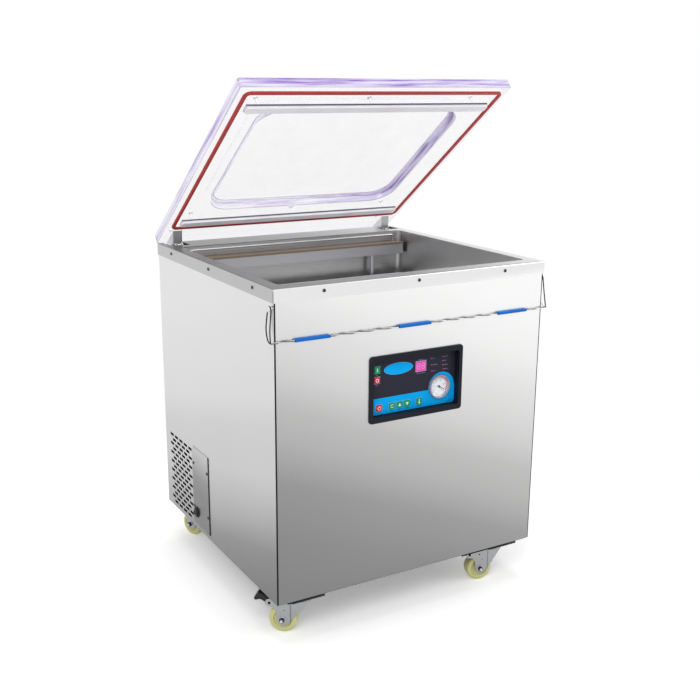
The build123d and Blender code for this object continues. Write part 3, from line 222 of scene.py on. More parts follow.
# ---------------- kinds of material
def brushed(name, colour, grain, roughness=0.34, contrast=0.025, slope=None, tones=None):
    """Brushed metal: long fine scratches along one axis, with faint cloudy variation.

    Where tones are given, the colour is multiplied by the grey of the place along the slope: painted shade
    and light that stand in for reflections.
    """
    mat, tn, links, shader = new_material(name)
    fine = noise(tn, links, coords(tn, links, grain), scale=9.0, detail=4.0, rough=0.65)
    cloud = noise(tn, links, coords(tn, links), scale=3.5, detail=2.0)
    scratched = blend(tn, links, spread(tn, links, fine, 0, 1), *shades(colour, contrast))
    if tones:
        scratched = blend(tn, links, 1.0, scratched, painted_shading(tn, links, slope, tones), way="MULTIPLY")
    links.new(scratched, shader.inputs["Base Color"])
    scratch_rough = spread(tn, links, fine, -0.05, 0.05)
    cloud_rough = spread(tn, links, cloud, roughness - 0.03, roughness + 0.03)
    links.new(maths(tn, links, "ADD", scratch_rough, cloud_rough), shader.inputs["Roughness"])
    shader.inputs["Metallic"].default_value = 1.0
    bump(tn, links, shader, fine, 0.03)
    return mat


def plastic(name, colour, roughness=0.45, grain=400.0, depth=0.08, gloss=0.5):
    """Moulded plastic, rubber or paint: a fine moulded grain and slight colour variation."""
    mat, tn, links, shader = new_material(name)
    where = coords(tn, links)
    fine = noise(tn, links, where, scale=grain, detail=2.0)
    cloud = noise(tn, links, where, scale=14.0)
    varied = blend(tn, links, spread(tn, links, cloud, 0, 1), *shades(colour, 0.05))
    links.new(varied, shader.inputs["Base Color"])
    links.new(spread(tn, links, fine, roughness - 0.04, roughness + 0.04), shader.inputs["Roughness"])
    shader.inputs["Specular IOR Level"].default_value = gloss
    bump(tn, links, shader, fine, depth)
    return mat


def wiped(tree_nodes, links, shader, roughness):
    """Gives a clear surface a roughness that varies a little."""
    fine = noise(tree_nodes, links, coords(tree_nodes, links), scale=30.0, detail=2.0)
    links.new(spread(tree_nodes, links, fine, roughness, roughness + 0.02), shader.inputs["Roughness"])


def clear(name, tint, ior=1.45):
    """Clear glass that lets light through to what is under it."""
    mat, tn, links, shader = new_material(name)
    shader.inputs["Base Color"].default_value = tint
    shader.inputs["Transmission Weight"].default_value = 1.0
    shader.inputs["IOR"].default_value = ior
    wiped(tn, links, shader, 0.0)
    through = tn.new("ShaderNodeBsdfTransparent")
    through.inputs["Color"].default_value = tint
    shadow = tn.new("ShaderNodeLightPath").outputs["Is Shadow Ray"]
    surface = mixed_shaders(tn, links, shadow, shader.outputs["BSDF"], through.outputs["BSDF"])
    links.new(surface, tn["Material Output"].inputs["Surface"])
    return mat


STREAKS = (0.42, 0.68)  # the stretch of the noise over which a painted reflection streak deepens
RIGHT_SIDE = (0.05, 0.25)  # m, where the deeper painted reflection of the right-hand side sets in and where it is reached


def film(name, tones, scale, right=None):
    """Clear acrylic as a see-through surface, with painted reflection streaks that are deeper in colour and
    less clear.

    tones are the pale and the deep colour and the lowest and highest alpha, and scale stretches the streaks
    in the lid's own axes. Where right is given, its deeper painted reflection takes over towards the
    right-hand side.
    """
    mat, tn, links, shader = new_material(name)
    level_lid = coords(tn, links, rotate=(lean, 0, 0))
    stretch = tn.new("ShaderNodeMapping")
    stretch.inputs["Scale"].default_value = scale
    links.new(level_lid, stretch.inputs["Vector"])
    streak = noise(tn, links, stretch.outputs["Vector"], scale=6.0, detail=4.0, rough=0.6)

    def look(pale, deep, thin, thick):
        colour = blend(tn, links, spread(tn, links, streak, 0, 1, *STREAKS), pale, deep)
        return colour, spread(tn, links, streak, thin, thick, *STREAKS)

    colour, alpha = look(*tones)
    if right:
        apart = tn.new("ShaderNodeSeparateXYZ")
        links.new(level_lid, apart.inputs["Vector"])
        side = spread(tn, links, apart.outputs["X"], 0, 1, *RIGHT_SIDE)
        right_colour, right_alpha = look(*right)
        colour = blend(tn, links, side, colour, right_colour)
        alpha = blend(tn, links, side, alpha, right_alpha, kind="FLOAT")
    links.new(colour, shader.inputs["Base Color"])
    links.new(alpha, shader.inputs["Alpha"])
    wiped(tn, links, shader, 0.06)
    return mat


# ---------------- steel and other metal
GRAIN_UP = (420, 420, 3.0)
GRAIN_X = (3.0, 420, 420)
GRAIN_CAST = (60, 60, 60)
GRAIN_WIRE = (40, 40, 40)
# painted shade and light on the steel sheets, standing in for reflections: the front is darker towards the
# bottom and left and paler towards the top right, the sides are darker towards the bottom and the front, the
# service cover is darker towards the bottom, and the deck is darker towards the left
FRONT_PAINTED_SHADE = (
    (0.0, 128), (0.13, 136), (0.25, 150), (0.345, 178), (0.42, 190), (0.495, 210), (0.545, 218),
    (0.62, 228), (0.695, 240), (0.8, 247), (1.0, 250),
)
SIDE_SLOPE = 0.25
SIDE_PAINTED_SHADE = (
    (0.1, 108), (0.225, 132), (0.3, 165), (0.4, 197), (0.51, 207), (0.575, 219), (0.8, 228), (1.1, 228),
)
COVER_PAINTED_SHADE = ((0.0, 108), (0.45, 114), (0.65, 134), (0.85, 172), (1.0, 192))  # by share of its height
DECK_PAINTED_SHADE = ((-0.35, 108), (-0.2, 126), (0.0, 142), (0.15, 166), (0.3, 208), (0.35, 222))
cover_low, cover_high = box("service_cover")

# the front, side, cover and deck steels below carry that painted shade and light
steel_front = brushed("steel_front", lin(255, 255, 254), GRAIN_UP, slope=(0.4, 0, 1), tones=FRONT_PAINTED_SHADE)
steel_side = brushed(
    "steel_side", grey(255), GRAIN_UP, slope=(0, SIDE_SLOPE, 1),
    tones=[(place + SIDE_SLOPE * FRONT, value) for place, value in SIDE_PAINTED_SHADE],
)
steel_cover = brushed(
    "steel_cover", grey(255), GRAIN_UP, slope=(0, 0, 1),
    tones=[(cover_low.z * (1 - t) + cover_high.z * t, value) for t, value in COVER_PAINTED_SHADE],
)
steel_deck = brushed("steel_deck", grey(255), GRAIN_X, roughness=0.3, slope=(1, 0, 0), tones=DECK_PAINTED_SHADE)
# painted shadow on the deck's front bend, and lit and shaded copies of the rim's steel for its front and its
# sides
steel_bend_shade = brushed("steel_bend_shade", grey(118), GRAIN_X, roughness=0.4)
# a painted highlight for the cheeks of the hinge arms
steel_arm_highlight = brushed("steel_arm_highlight", grey(214), GRAIN_X, roughness=0.35)
steel_rim = brushed("steel_rim", grey(232), GRAIN_X, roughness=0.3)
steel_rim_side_shade = brushed("steel_rim_side_shade", grey(187), GRAIN_UP, roughness=0.3)
steel_chamber = brushed("steel_chamber", lin(188, 188, 189), GRAIN_X, roughness=0.32)
steel_frame = brushed("steel_frame", lin(170, 171, 173), GRAIN_X, roughness=0.42)
dark_steel = brushed("dark_steel", lin(60, 60, 64), GRAIN_X, roughness=0.4)
aluminium = brushed("aluminium", lin(187, 188, 193), GRAIN_X, roughness=0.4)
bar_pale = brushed("bar_pale", lin(218, 218, 223), GRAIN_X, roughness=0.4)
# painted shade for the narrow upper sides of the counter bars
bar_shade = brushed("bar_shade", lin(96, 96, 104), GRAIN_X, roughness=0.4)
zinc = brushed("zinc", lin(156, 157, 158), GRAIN_CAST, roughness=0.3)
# painted shade for the fold in the fork cheeks
zinc_fold_shade = brushed("zinc_fold_shade", lin(122, 122, 124), GRAIN_CAST, roughness=0.3)
bolt_dark_and_hole_shade = brushed("bolt_dark_and_hole_shade", lin(40, 40, 42), GRAIN_CAST, roughness=0.35)
bolt_bright = brushed("bolt_bright", lin(196, 196, 198), GRAIN_CAST, roughness=0.25)
screw_steel = brushed("screw_steel", lin(72, 72, 74), GRAIN_CAST, roughness=0.25, contrast=0.02)
chrome = brushed("chrome", lin(214, 214, 216), GRAIN_WIRE, roughness=0.14, contrast=0.02)
pale_steel = brushed("pale_steel", lin(236, 236, 240), GRAIN_WIRE, roughness=0.3, contrast=0.02)
# the two strands of the bail's one chrome wire, one with painted light and one with painted shade
wire_painted_light = brushed("wire_painted_light", grey(205), GRAIN_WIRE, roughness=0.2, contrast=0.02)
wire_painted_shade = brushed("wire_painted_shade", grey(112), GRAIN_WIRE, roughness=0.2, contrast=0.02)

# ---------------- plastic, rubber, paint and print
# the bail's chrome loops painted nearly black, a painted dark reflection
wire_painted_dark = plastic("wire_painted_dark", lin(50, 50, 52), 0.6, gloss=0.1)
red_rubber = plastic("red_rubber", lin(176, 44, 44), 0.5)
pale_rubber = plastic("pale_rubber", lin(240, 239, 244), 0.42)
brown_tape = plastic("brown_tape", lin(112, 96, 80), 0.5, grain=900.0, depth=0.25)
white_board = plastic("white_board", lin(206, 206, 204), 0.5)
black_plastic = plastic("black_plastic", lin(24, 24, 26), 0.4, gloss=0.3)
frame_plastic = plastic("frame_plastic", lin(22, 25, 34), 0.42, gloss=0.16)
face_film = plastic("face_film", lin(40, 41, 54), 0.4, depth=0.03, gloss=0.12)
blue_sleeve = plastic("blue_sleeve", lin(0, 102, 192), 0.45, gloss=0.15)
blue_print = plastic("blue_print", lin(0, 165, 238), 0.5, depth=0.03, gloss=0.08)
green_key = plastic("green_key", lin(0, 152, 92), 0.35, gloss=0.2)
red_key = plastic("red_key", lin(226, 30, 72), 0.35, gloss=0.2)
white_print = plastic("white_print", lin(236, 238, 242), 0.4, depth=0.02)
caption_print = plastic("caption_print", lin(138, 140, 156), 0.5, depth=0.02, gloss=0.15)
pale_print = plastic("pale_print", lin(150, 190, 205), 0.5, depth=0.02, gloss=0.15)
digit_pink = plastic("digit_pink", lin(244, 150, 210), 0.3, depth=0.02)
dial_white = plastic("dial_white", lin(240, 240, 244), 0.45, depth=0.02, gloss=0.2)
# the black of the gauge's print and needle, also used for painted shadow in gaps and under edges
black_print_and_shade = plastic("black_print_and_shade", lin(18, 18, 20), 0.5, gloss=0.15)
bezel_grey = plastic("bezel_grey", lin(150, 152, 166), 0.3, gloss=0.4)
magenta = plastic("magenta", lin(226, 84, 184), 0.35, depth=0.02, gloss=0.15)
led_red = plastic("led_red", lin(236, 62, 158), 0.35, gloss=0.15)
wheel_cream = plastic("wheel_cream", lin(206, 204, 140), 0.34)
hose_black = plastic("hose_black", lin(36, 36, 40), 0.6)
pump_grey = plastic("pump_grey", lin(74, 86, 98), 0.4)
core_brown = plastic("core_brown", lin(92, 88, 84), 0.6)

# ---------------- clear acrylic and glass
# the acrylic's faint lavender tint is its own; the deep violet streaks, the deeper colour at the edges and
# walls and the lines round the recess are painted reflection
acrylic = film("acrylic", (lin(243, 241, 250), lin(236, 232, 247), 0.085, 0.11), (3, 3, 3))
acrylic_edge = film("acrylic_edge", (lin(214, 208, 232), lin(130, 84, 186), 0.88, 1.0), (1.1, 3, 34))
acrylic_side = film("acrylic_side", (lin(232, 226, 248), lin(158, 130, 216), 0.55, 0.92), (1.6, 0.8, 18))
acrylic_wall = film(
    "acrylic_wall", (lin(230, 222, 252), lin(138, 110, 206), 0.18, 0.6), (1.2, 1.2, 26),
    right=(lin(190, 168, 236), lin(80, 42, 160), 0.6, 0.97),
)
acrylic_line = film("acrylic_line", (lin(190, 182, 220), lin(140, 124, 184), 0.45, 0.65), (0.8, 0.8, 1))
acrylic_far = film("acrylic_far", (lin(216, 210, 234), lin(196, 186, 222), 0.16, 0.24), (0.6, 0.6, 2))
glass = clear("glass", lin(250, 251, 252))

# ---------------- materials of the CAD nodes
KEYS = ("on_key", "off_key", "stop_key", "set_key", "up_key", "down_key", "heat_key")
CORNERS = ("front_left", "front_right", "rear_left", "rear_right")
NODE_SHARP = 28  # degrees, the bend past which an edge of a CAD node stays sharp


def dress(node, material):
    """Gives a CAD node its material and smooth shading across its round faces."""
    obj = nodes[node]
    if obj.material_slots:
        for spot in obj.material_slots:
            spot.material = material
    else:
        obj.data.materials.append(material)
    for face in obj.data.polygons:
        face.use_smooth = True
    obj.data.set_sharp_from_angle(angle=math.radians(NODE_SHARP))


def repaint(node, materials, choose):
    """Adds materials to a dressed node. For each face choose gives one by number, 0 for its first."""
    mesh = nodes[node].data
    for material in materials:
        mesh.materials.append(material)
    for face in mesh.polygons:
        face.material_index = choose(face.normal, face.center)


for names, material in (
    (("front_panel",), steel_front),
    (("left_panel", "right_panel", "rear_panel"), steel_side),
    (("service_cover",), steel_cover),
    (("deck",), steel_deck),
    (("chamber",), steel_chamber),
    (("base_plate", "inner_frame", "castor_plates"), dark_steel),
    (("hinge_brackets", "hinge_arms", "lift_cylinders"), steel_frame),
    (("bag_rods", "cabinet_screws", "left_strut_rod", "right_strut_rod", "bail_wire"), chrome),
    (("lid_screws",), pale_steel),
    (("filler_boards",), white_board),
    (("vacuum_pump",), pump_grey),
    (("vacuum_hose",), hose_black),
    (("transformer",), core_brown),
    (("control_frame",), frame_plastic),
    (("control_face",), face_film),
    (("display_window",), magenta),
    (("gauge_case",), bezel_grey),
    (("gauge_glass",), glass),
    (("gauge_needle",), black_print_and_shade),
    (("cable_gland", "left_strut_tube", "right_strut_tube"), black_plastic),
    (("lid_plate",), acrylic),
    (("lid_gasket",), red_rubber),
    (("counter_bars",), bar_pale),
    (("front_seal_bar", "rear_seal_bar"), aluminium),
    (("silicone_strips",), pale_rubber),
    (("front_seal_tape", "rear_seal_tape"), brown_tape),
    (("on_key", "set_key", "up_key", "down_key", "heat_key"), green_key),
    (("off_key", "stop_key"), red_key),
    (("bail_sleeves",), blue_sleeve),
    ([f"{corner}_fork" for corner in CORNERS], zinc),
    ([f"{corner}_wheel" for corner in CORNERS], wheel_cream),
    ([f"{corner}_brake" for corner in CORNERS], black_plastic),
):
    for node in names:
        dress(node, material)

RIM_REACH = 0.01  # m, how near its outer faces a face of the deck counts as its rim


def deck_part(normal, centre):
    """The rim of the deck is painted pale in front as lit and darker at the sides as shade, and its front
    bend gets painted shadow.
    """
    at_front = centre.y < FRONT + RIM_REACH
    if at_front and normal.y < -0.7:
        return 1
    if abs(normal.x) > 0.7 and abs(centre.x) > deck_high.x - RIM_REACH:
        return 2
    return 3 if at_front and 0.08 < normal.z < 0.95 else 0


up_lid = (lid_point(0, -1, 0) - lid_point(0, 0, 0)).normalized()
repaint("deck", (steel_rim, steel_rim_side_shade, steel_bend_shade), deck_part)
# the cheeks of the hinge arms get a paler painted highlight than the web between them
repaint("hinge_arms", (steel_arm_highlight,), lambda normal, centre: 1 if abs(normal.x) > 0.7 else 0)
# the narrow upper sides of the counter bars get painted shade
repaint("counter_bars", (bar_shade,), lambda normal, centre: 1 if normal.dot(up_lid) > 0.8 else 0)


# ---------------- building pieces
def add_piece(name, bm, materials, body, bevel=0.0, angle=35):
    """Makes a bmesh into a piece that rides on a body. Edges past the angle in degrees stay sharp."""
    mesh = bpy.data.meshes.new(name)
    bmesh.ops.recalc_face_normals(bm, faces=bm.faces)
    bm.to_mesh(mesh)
    bm.free()
    for face in mesh.polygons:
        face.use_smooth = True
    mesh.set_sharp_from_angle(angle=math.radians(angle))
    obj = bpy.data.objects.new(name, mesh)
    bpy.context.collection.objects.link(obj)
    for material in materials if isinstance(materials, (list, tuple)) else [materials]:
        mesh.materials.append(material)
    if bevel:
        mod = obj.modifiers.new("bevel", "BEVEL")
        mod.width = bevel * MM
        mod.segments = 3
        mod.limit_method = "ANGLE"
        mod.angle_limit = math.radians(30)
        mod.harden_normals = True
    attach(obj, body)
    return obj


def arc(half_x, half_y, start, end, steps, centre=(0, 0)):
    """Points along an ellipse's arc, from start to end degrees."""
    angles = [math.radians(start + (end - start) * i / steps) for i in range(steps + 1)]
    return [(centre[0] + half_x * math.cos(a), centre[1] + half_y * math.sin(a)) for a in angles]


def oval(half_x, half_y, steps, centre=(0, 0)):
    return arc(half_x, half_y, 0, 360, steps, centre)[:-1]


def arc_band(radius, width, start, end, steps=24):
    """Outline of a band along an arc, from start to end degrees."""
    inside = radius - width
    return arc(radius, radius, start, end, steps) + arc(inside, inside, end, start, steps)


def oblong(x0, x1, z0, z1):
    return [(x0, z0), (x1, z0), (x1, z1), (x0, z1)]


def rounded(half_x, half_y, radius, steps=8):
    """Points of a rounded rectangle about the origin, anticlockwise."""
    points = []
    for cx, cy, start in ((1, 1, 0), (-1, 1, 90), (-1, -1, 180), (1, -1, 270)):
        middle = (cx * (half_x - radius), cy * (half_y - radius))
        points += arc(radius, radius, start, start + 90, steps, middle)
    return points


def shifted(points, x, z):
    return [(px + x, pz + z) for px, pz in points]


def bridge(bm, loops, slots=None, close=False):
    """Quads between successive loops of as many points each, each band in its own material slot."""
    rings = [[bm.verts.new(p) for p in loop] for loop in loops]
    pairs = list(zip(rings, rings[1:])) + ([(rings[-1], rings[0])] if close else [])
    for index, (one, two) in enumerate(pairs):
        for i in range(len(one)):
            j = (i + 1) % len(one)
            face = bm.faces.new((one[i], one[j], two[j], two[i]))
            if slots:
                face.material_index = slots[index]
    return rings


def solid(bm, loops, slots=None):
    """A closed solid through the loops, with its first and last loop as ends."""
    rings = bridge(bm, loops, slots)
    bm.faces.new(rings[0][::-1])
    bm.faces.new(rings[-1])


def plate(bm, outline, back_y, thick, place=on_front):
    """A flat plate of that outline, its back on back_y and its face thick mm in front of it."""
    solid(bm, [[place(x, z, y) for x, z in outline] for y in (back_y, back_y - thick * MM)])


def revolve(bm, profile, origin, axis, steps=24, slot_index=0):
    """Turns (radius, height) points round an axis through origin. Heights run along the axis, in mm."""
    axis = Vector(axis).normalized()
    side = axis.orthogonal().normalized()
    other = axis.cross(side)
    rings = []
    for radius, height in profile:
        centre = Vector(origin) + axis * height * MM
        if radius < 1e-6:
            rings.append([bm.verts.new(centre)])
            continue
        rings.append([
            bm.verts.new(centre + (side * math.cos(t) + other * math.sin(t)) * radius * MM)
            for t in (2 * math.pi * i / steps for i in range(steps))
        ])
    for one, two in zip(rings, rings[1:]):
        for i in range(steps):
            j = (i + 1) % steps
            quad = (one[i % len(one)], one[j % len(one)], two[j % len(two)], two[i % len(two)])
            corners = list(dict.fromkeys(quad))
            if len(corners) > 2:
                bm.faces.new(corners).material_index = slot_index


def weld(bm):
    """Joins the first and the last ring of a closed profile."""
    bmesh.ops.remove_doubles(bm, verts=bm.verts, dist=1e-6)


# ---------------- lid
LID_HALF_X, LID_HALF_U = 346.0, 333.0
LID_REAR = 6.6  # how far it reaches behind the hinge axis
LID_ROUND = 6.0
UNDER = 33.2  # its underside, out from the hinge axis
TOP = UNDER + 23.0
RECESS_NEAR, RECESS_FAR = 161.0, 578.0  # from the lid's rear edge
RECESS_HALF_X, RECESS_HALF_U = 263.5, (RECESS_FAR - RECESS_NEAR) / 2
RECESS_ROUND = 60.0
CEILING = UNDER + 21.0
CEILING_ROUND = 9.0
WALL_DRAFT = 2.4
DOME_WALL = 9.0
DOME_RISE = 12.0
DOME_ROUND = 6.0
DOME_DRAFT = 1.2
FRONT_BAND = 8.0  # how deep the front edge counts as front, past the lid's round corners
SIDE_BAND = 46.0
lid_mid_u = LID_REAR - LID_HALF_U
recess_mid_u = LID_REAR - (RECESS_NEAR + RECESS_FAR) / 2
CLEAR, EDGE, SIDE, WALL, LINE, FAR = range(6)


def lid_loop(half_x, half_u, mid_u, radius, w):
    return [lid_point(x, mid_u + u, w) for x, u in rounded(half_x, half_u, radius)]


def plate_loop(inset, w):
    """The lid's outline, inset, at w out from the hinge axis."""
    return lid_loop(LID_HALF_X - inset, LID_HALF_U - inset, lid_mid_u, LID_ROUND - inset, w)


def recess_loop(grow, w):
    """The outline of the recess's mouth, grown, at w out from the hinge axis."""
    return lid_loop(RECESS_HALF_X + grow, RECESS_HALF_U + grow, recess_mid_u, RECESS_ROUND + grow, w)


def quarter(radius, steps=4):
    """Inset and rise of points round a quarter circle, from upright to level."""
    angles = [math.radians(90 * i / steps) for i in range(steps + 1)]
    return [(radius * (1 - math.cos(a)), radius * math.sin(a)) for a in angles]


# each loop with the slot of the band that follows it, from the ceiling of the recess to the top of the dome
sections = [
    (recess_loop(-WALL_DRAFT - inset, CEILING - CEILING_ROUND + rise), WALL)
    for inset, rise in reversed(quarter(CEILING_ROUND))
]
# the LINE bands are painted reflection lines along the recess's ceiling and mouth and along the plate's lower
# edge
sections[0] = (sections[0][0], LINE)
sections += [
    (recess_loop(-0.6, UNDER + 2.0), LINE),
    (recess_loop(1.5, UNDER), CLEAR),
    (plate_loop(2.0, UNDER), LINE),
    (plate_loop(0.0, UNDER + 2.0), EDGE),
    (plate_loop(0.0, TOP - 1.0), CLEAR),
    (plate_loop(1.0, TOP), CLEAR),
    (recess_loop(DOME_WALL, TOP), CLEAR),
]
sections += [
    (recess_loop(DOME_WALL - DOME_DRAFT - inset, TOP + DOME_RISE - DOME_ROUND + rise), CLEAR)
    for inset, rise in quarter(DOME_ROUND)
]
lid = bmesh.new()
solid(lid, [loop for loop, slot_index in sections], [slot_index for loop, slot_index in sections])
# painted reflection by side: the front edge gets the deepest colour, the left side a paler one, and the right
# side and the rear the palest
lid_middle = lid_point(0, lid_mid_u, UNDER)
for face in lid.faces:
    if face.material_index == EDGE:
        middle = face.calc_center_median()
        if (middle - lid_middle).dot(-up_lid) > -(LID_HALF_U - FRONT_BAND) * MM:
            face.material_index = SIDE if middle.x < -(LID_HALF_X - SIDE_BAND) * MM else FAR
lid_piece = add_piece(
    "lid_moulding", lid,
    [acrylic, acrylic_edge, acrylic_side, acrylic_wall, acrylic_line, acrylic_far],
    "lid",
)
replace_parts(lid_piece, "lid_plate")

# ---------------- print on the control panel
FACE = box("control_face")[0].y  # m
WINDOW = box("display_window")[0].y  # m
PRINT = 0.12  # how far print stands off its ground
# the artwork, x across from the middle and z above the deck
ARTWORK_LEFT, ARTWORK_RIGHT = -110.5, 112.5
ARTWORK_LOW, ARTWORK_TOP = -308.0, -270.8
GAUGE, GAUGE_HOLE = (70.0, -266.0), 28.2
ARCH, ARCH_HALF_X, ARCH_HALF_Z = (76.0, -266.0), 35.0, 33.0
BADGE, BADGE_HALF_X, BADGE_HALF_Z = (-40.0, -208.6), 37.5, 13.2
BADGE_RIM = 0.4


def arch(start, end):
    """Points of the arch over the gauge."""
    return arc(ARCH_HALF_X, ARCH_HALF_Z, start, end, 20, ARCH)


def gauge_hole(start, end):
    """Points of the hole round the gauge."""
    return arc(GAUGE_HOLE, GAUGE_HOLE, start, end, 28, GAUGE)


# two halves that meet on the gauge's upright middle line
over = math.degrees(math.acos((GAUGE[0] - ARCH[0]) / ARCH_HALF_X))
left_half = [
    (ARTWORK_LEFT, ARTWORK_LOW), (GAUGE[0], ARTWORK_LOW), *gauge_hole(270, 90), *arch(over, 180),
    (40.5, ARTWORK_TOP), (ARTWORK_LEFT, ARTWORK_TOP),
]
right_half = [
    (GAUGE[0], ARTWORK_LOW), (109.5, ARTWORK_LOW), (ARTWORK_RIGHT, -302.0), (ARTWORK_RIGHT, ARCH[1]),
    *arch(0, over), *gauge_hole(90, -90),
]
badge = oval(BADGE_HALF_X, BADGE_HALF_Z, 40, BADGE)
artwork = bmesh.new()
for outline in (left_half, right_half, badge):
    plate(artwork, outline, FACE, PRINT)
add_piece("panel_artwork", artwork, blue_print, "cabinet")

# a thin border round each key and the display window
BORDER = 0.9
BORDER_GAP = 0.1
borders = bmesh.new()
for node in (*KEYS, "display_window"):
    low, high = box(node)
    x0, x1 = low.x / MM, high.x / MM
    z0, z1 = (low.z - DECK) / MM, (high.z - DECK) / MM
    for strip in (
        oblong(x0 - BORDER, x0 - BORDER_GAP, z0 - BORDER, z1 + BORDER),
        oblong(x1 + BORDER_GAP, x1 + BORDER, z0 - BORDER, z1 + BORDER),
        oblong(x0 - BORDER_GAP, x1 + BORDER_GAP, z1 + BORDER_GAP, z1 + BORDER),
        oblong(x0 - BORDER_GAP, x1 + BORDER_GAP, z0 - BORDER, z0 - BORDER_GAP),
    ):
        plate(borders, strip, FACE - PRINT * MM, 0.06)
add_piece("panel_borders", borders, pale_print, "cabinet")

# the badge's rim, and a row of plain dashes for each caption: its two ends and its height
CAPTIONS = (
    (50.8, 56.3, -198.1), (51.6, 65.0, -213.2), (53.0, 58.5, -227.6), (81.5, 92.0, -197.4),
    (81.8, 88.0, -207.1), (82.2, 92.5, -217.0), (83.6, 92.5, -226.8), (14.0, 31.5, -227.7),
    (13.0, 25.0, -196.6), (-99.0, -92.5, -216.8), (-98.5, -92.0, -240.2), (-92.5, -86.0, -304.0),
    (-60.0, -52.0, -304.2), (-41.5, -30.0, -304.0), (-22.0, -10.5, -303.6), (8.0, 26.0, -304.2),
    (92.0, 108.0, -303.5),
)
DASH, DASH_GAP, DASH_HALF = 1.5, 0.6, 0.55
captions = bmesh.new()
rim = oval(BADGE_HALF_X + BADGE_RIM, BADGE_HALF_Z + BADGE_RIM, 40, BADGE)
bridge(captions, [
    [on_front(x, z, FACE - depth * MM) for x, z in outline]
    for outline, depth in ((rim, 0), (rim, PRINT), (badge, PRINT), (badge, 0))
], close=True)
for x, end, z in CAPTIONS:
    while x < end - 0.4:
        plate(captions, oblong(x, min(x + DASH, end), z - DASH_HALF, z + DASH_HALF), FACE, PRINT)
        x += DASH + DASH_GAP
add_piece("panel_captions", captions, caption_print, "cabinet")

LAMPS = (
    (47.2, -198.0), (48.3, -212.6), (49.6, -227.3), (77.5, -197.1), (78.3, -206.9), (79.2, -216.8),
    (80.6, -226.7), (10.7, -227.4),
)
LAMP_RADIUS = 1.35
lamps = bmesh.new()
for spot in LAMPS:
    plate(lamps, oval(LAMP_RADIUS, LAMP_RADIUS, 14, spot), FACE, 0.35)
add_piece("panel_lamps", lamps, led_red, "cabinet", bevel=0.12)

# two digits of seven lit bars each in the display window
DIGITS_X, DIGITS_Z = (13.2, 25.2), -211.5
DIGIT_HALF_X, DIGIT_HALF_Z = 3.4, 6.4
BAR_HALF, BAR_POINT = 0.75, 0.4
LEVEL_BAR, UPRIGHT_BAR = 2.7, 2.5
level_bar = [
    (-LEVEL_BAR - BAR_POINT, 0), (-LEVEL_BAR, -BAR_HALF), (LEVEL_BAR, -BAR_HALF),
    (LEVEL_BAR + BAR_POINT, 0), (LEVEL_BAR, BAR_HALF), (-LEVEL_BAR, BAR_HALF),
]
upright_bar = [
    (0, -UPRIGHT_BAR - BAR_POINT), (BAR_HALF, -UPRIGHT_BAR), (BAR_HALF, UPRIGHT_BAR),
    (0, UPRIGHT_BAR + BAR_POINT), (-BAR_HALF, UPRIGHT_BAR), (-BAR_HALF, -UPRIGHT_BAR),
]
digits = bmesh.new()
for centre in DIGITS_X:
    for dz in (DIGIT_HALF_Z, 0, -DIGIT_HALF_Z):
        plate(digits, shifted(level_bar, centre, DIGITS_Z + dz), WINDOW, 0.1)
    for dx in (-DIGIT_HALF_X, DIGIT_HALF_X):
        for dz in (-DIGIT_HALF_Z / 2, DIGIT_HALF_Z / 2):
            plate(digits, shifted(upright_bar, centre + dx, DIGITS_Z + dz), WINDOW, 0.1)
add_piece("display_digits", digits, digit_pink, "cabinet")


def key_symbol(node, shapes):
    """White shapes about the middle of a key, which ride on it."""
    low, high = box(node)
    x, z = (low.x + high.x) / 2 / MM, ((low.z + high.z) / 2 - DECK) / MM
    bm = bmesh.new()
    for shape in shapes:
        plate(bm, shifted(shape, x, z), low.y, 0.1)
    add_piece(f"{node}_symbol", bm, white_print, f"{node}_body")


key_symbol("on_key", [oblong(-1.0, 1.0, -4.0, 4.0)])
key_symbol("off_key", [arc_band(4.2, 1.3, 3, 357)])
key_symbol("stop_key", [arc_band(4.2, 1.0, 115, 425), oblong(-0.5, 0.5, 1.5, 5.0)])
key_symbol("set_key", [arc_band(4.0, 1.0, 40, 330)])
key_symbol("up_key", [[(-3.8, -3.0), (3.8, -3.0), (0, 3.8)]])
key_symbol("down_key", [[(-3.8, 3.0), (0, -3.8), (3.8, 3.0)]])
key_symbol("heat_key", [oblong(-0.9, 0.9, -1.8, 5.0), oval(2.2, 2.2, 16, (0, -3.2))])

# ---------------- gauge
DIAL = FACE + 3.0 * MM  # m
DIAL_THICK = 0.3
DIAL_RADIUS = 24.8
MARKS_Y = DIAL - DIAL_THICK * MM  # m
MARK_THICK = 0.06
MARK_RADIUS = 20.6
MARKS = 50
SCALE_START, SCALE_TURN = 225, 270  # degrees, clockwise from the first mark to the last
LONG, MIDDLE, SHORT = 3.6, 2.6, 1.5
BOLD, FINE = 0.34, 0.18
NUMBER_RADIUS = 13.6
NUMBER_SIZE = 4.2


def on_gauge(x, z, y):
    return on_front(GAUGE[0] + x, GAUGE[1] + z, y)


def on_scale(share):
    """Angle on the scale, in radians."""
    return math.radians(SCALE_START - SCALE_TURN * share)


dial = bmesh.new()
plate(dial, oval(DIAL_RADIUS, DIAL_RADIUS, 48), DIAL, DIAL_THICK, on_gauge)
add_piece("gauge_dial", dial, dial_white, "cabinet")

marks = bmesh.new()
for i in range(MARKS + 1):
    a = on_scale(i / MARKS)
    length = LONG if i % 10 == 0 else MIDDLE if i % 5 == 0 else SHORT
    half = BOLD if i % 10 == 0 else FINE
    mark = oblong(MARK_RADIUS - length, MARK_RADIUS, -half, half)
    turned = [(r * math.cos(a) - t * math.sin(a), r * math.sin(a) + t * math.cos(a)) for r, t in mark]
    plate(marks, turned, MARKS_Y, MARK_THICK, on_gauge)
add_piece("gauge_marks", marks, black_print_and_shade, "cabinet")

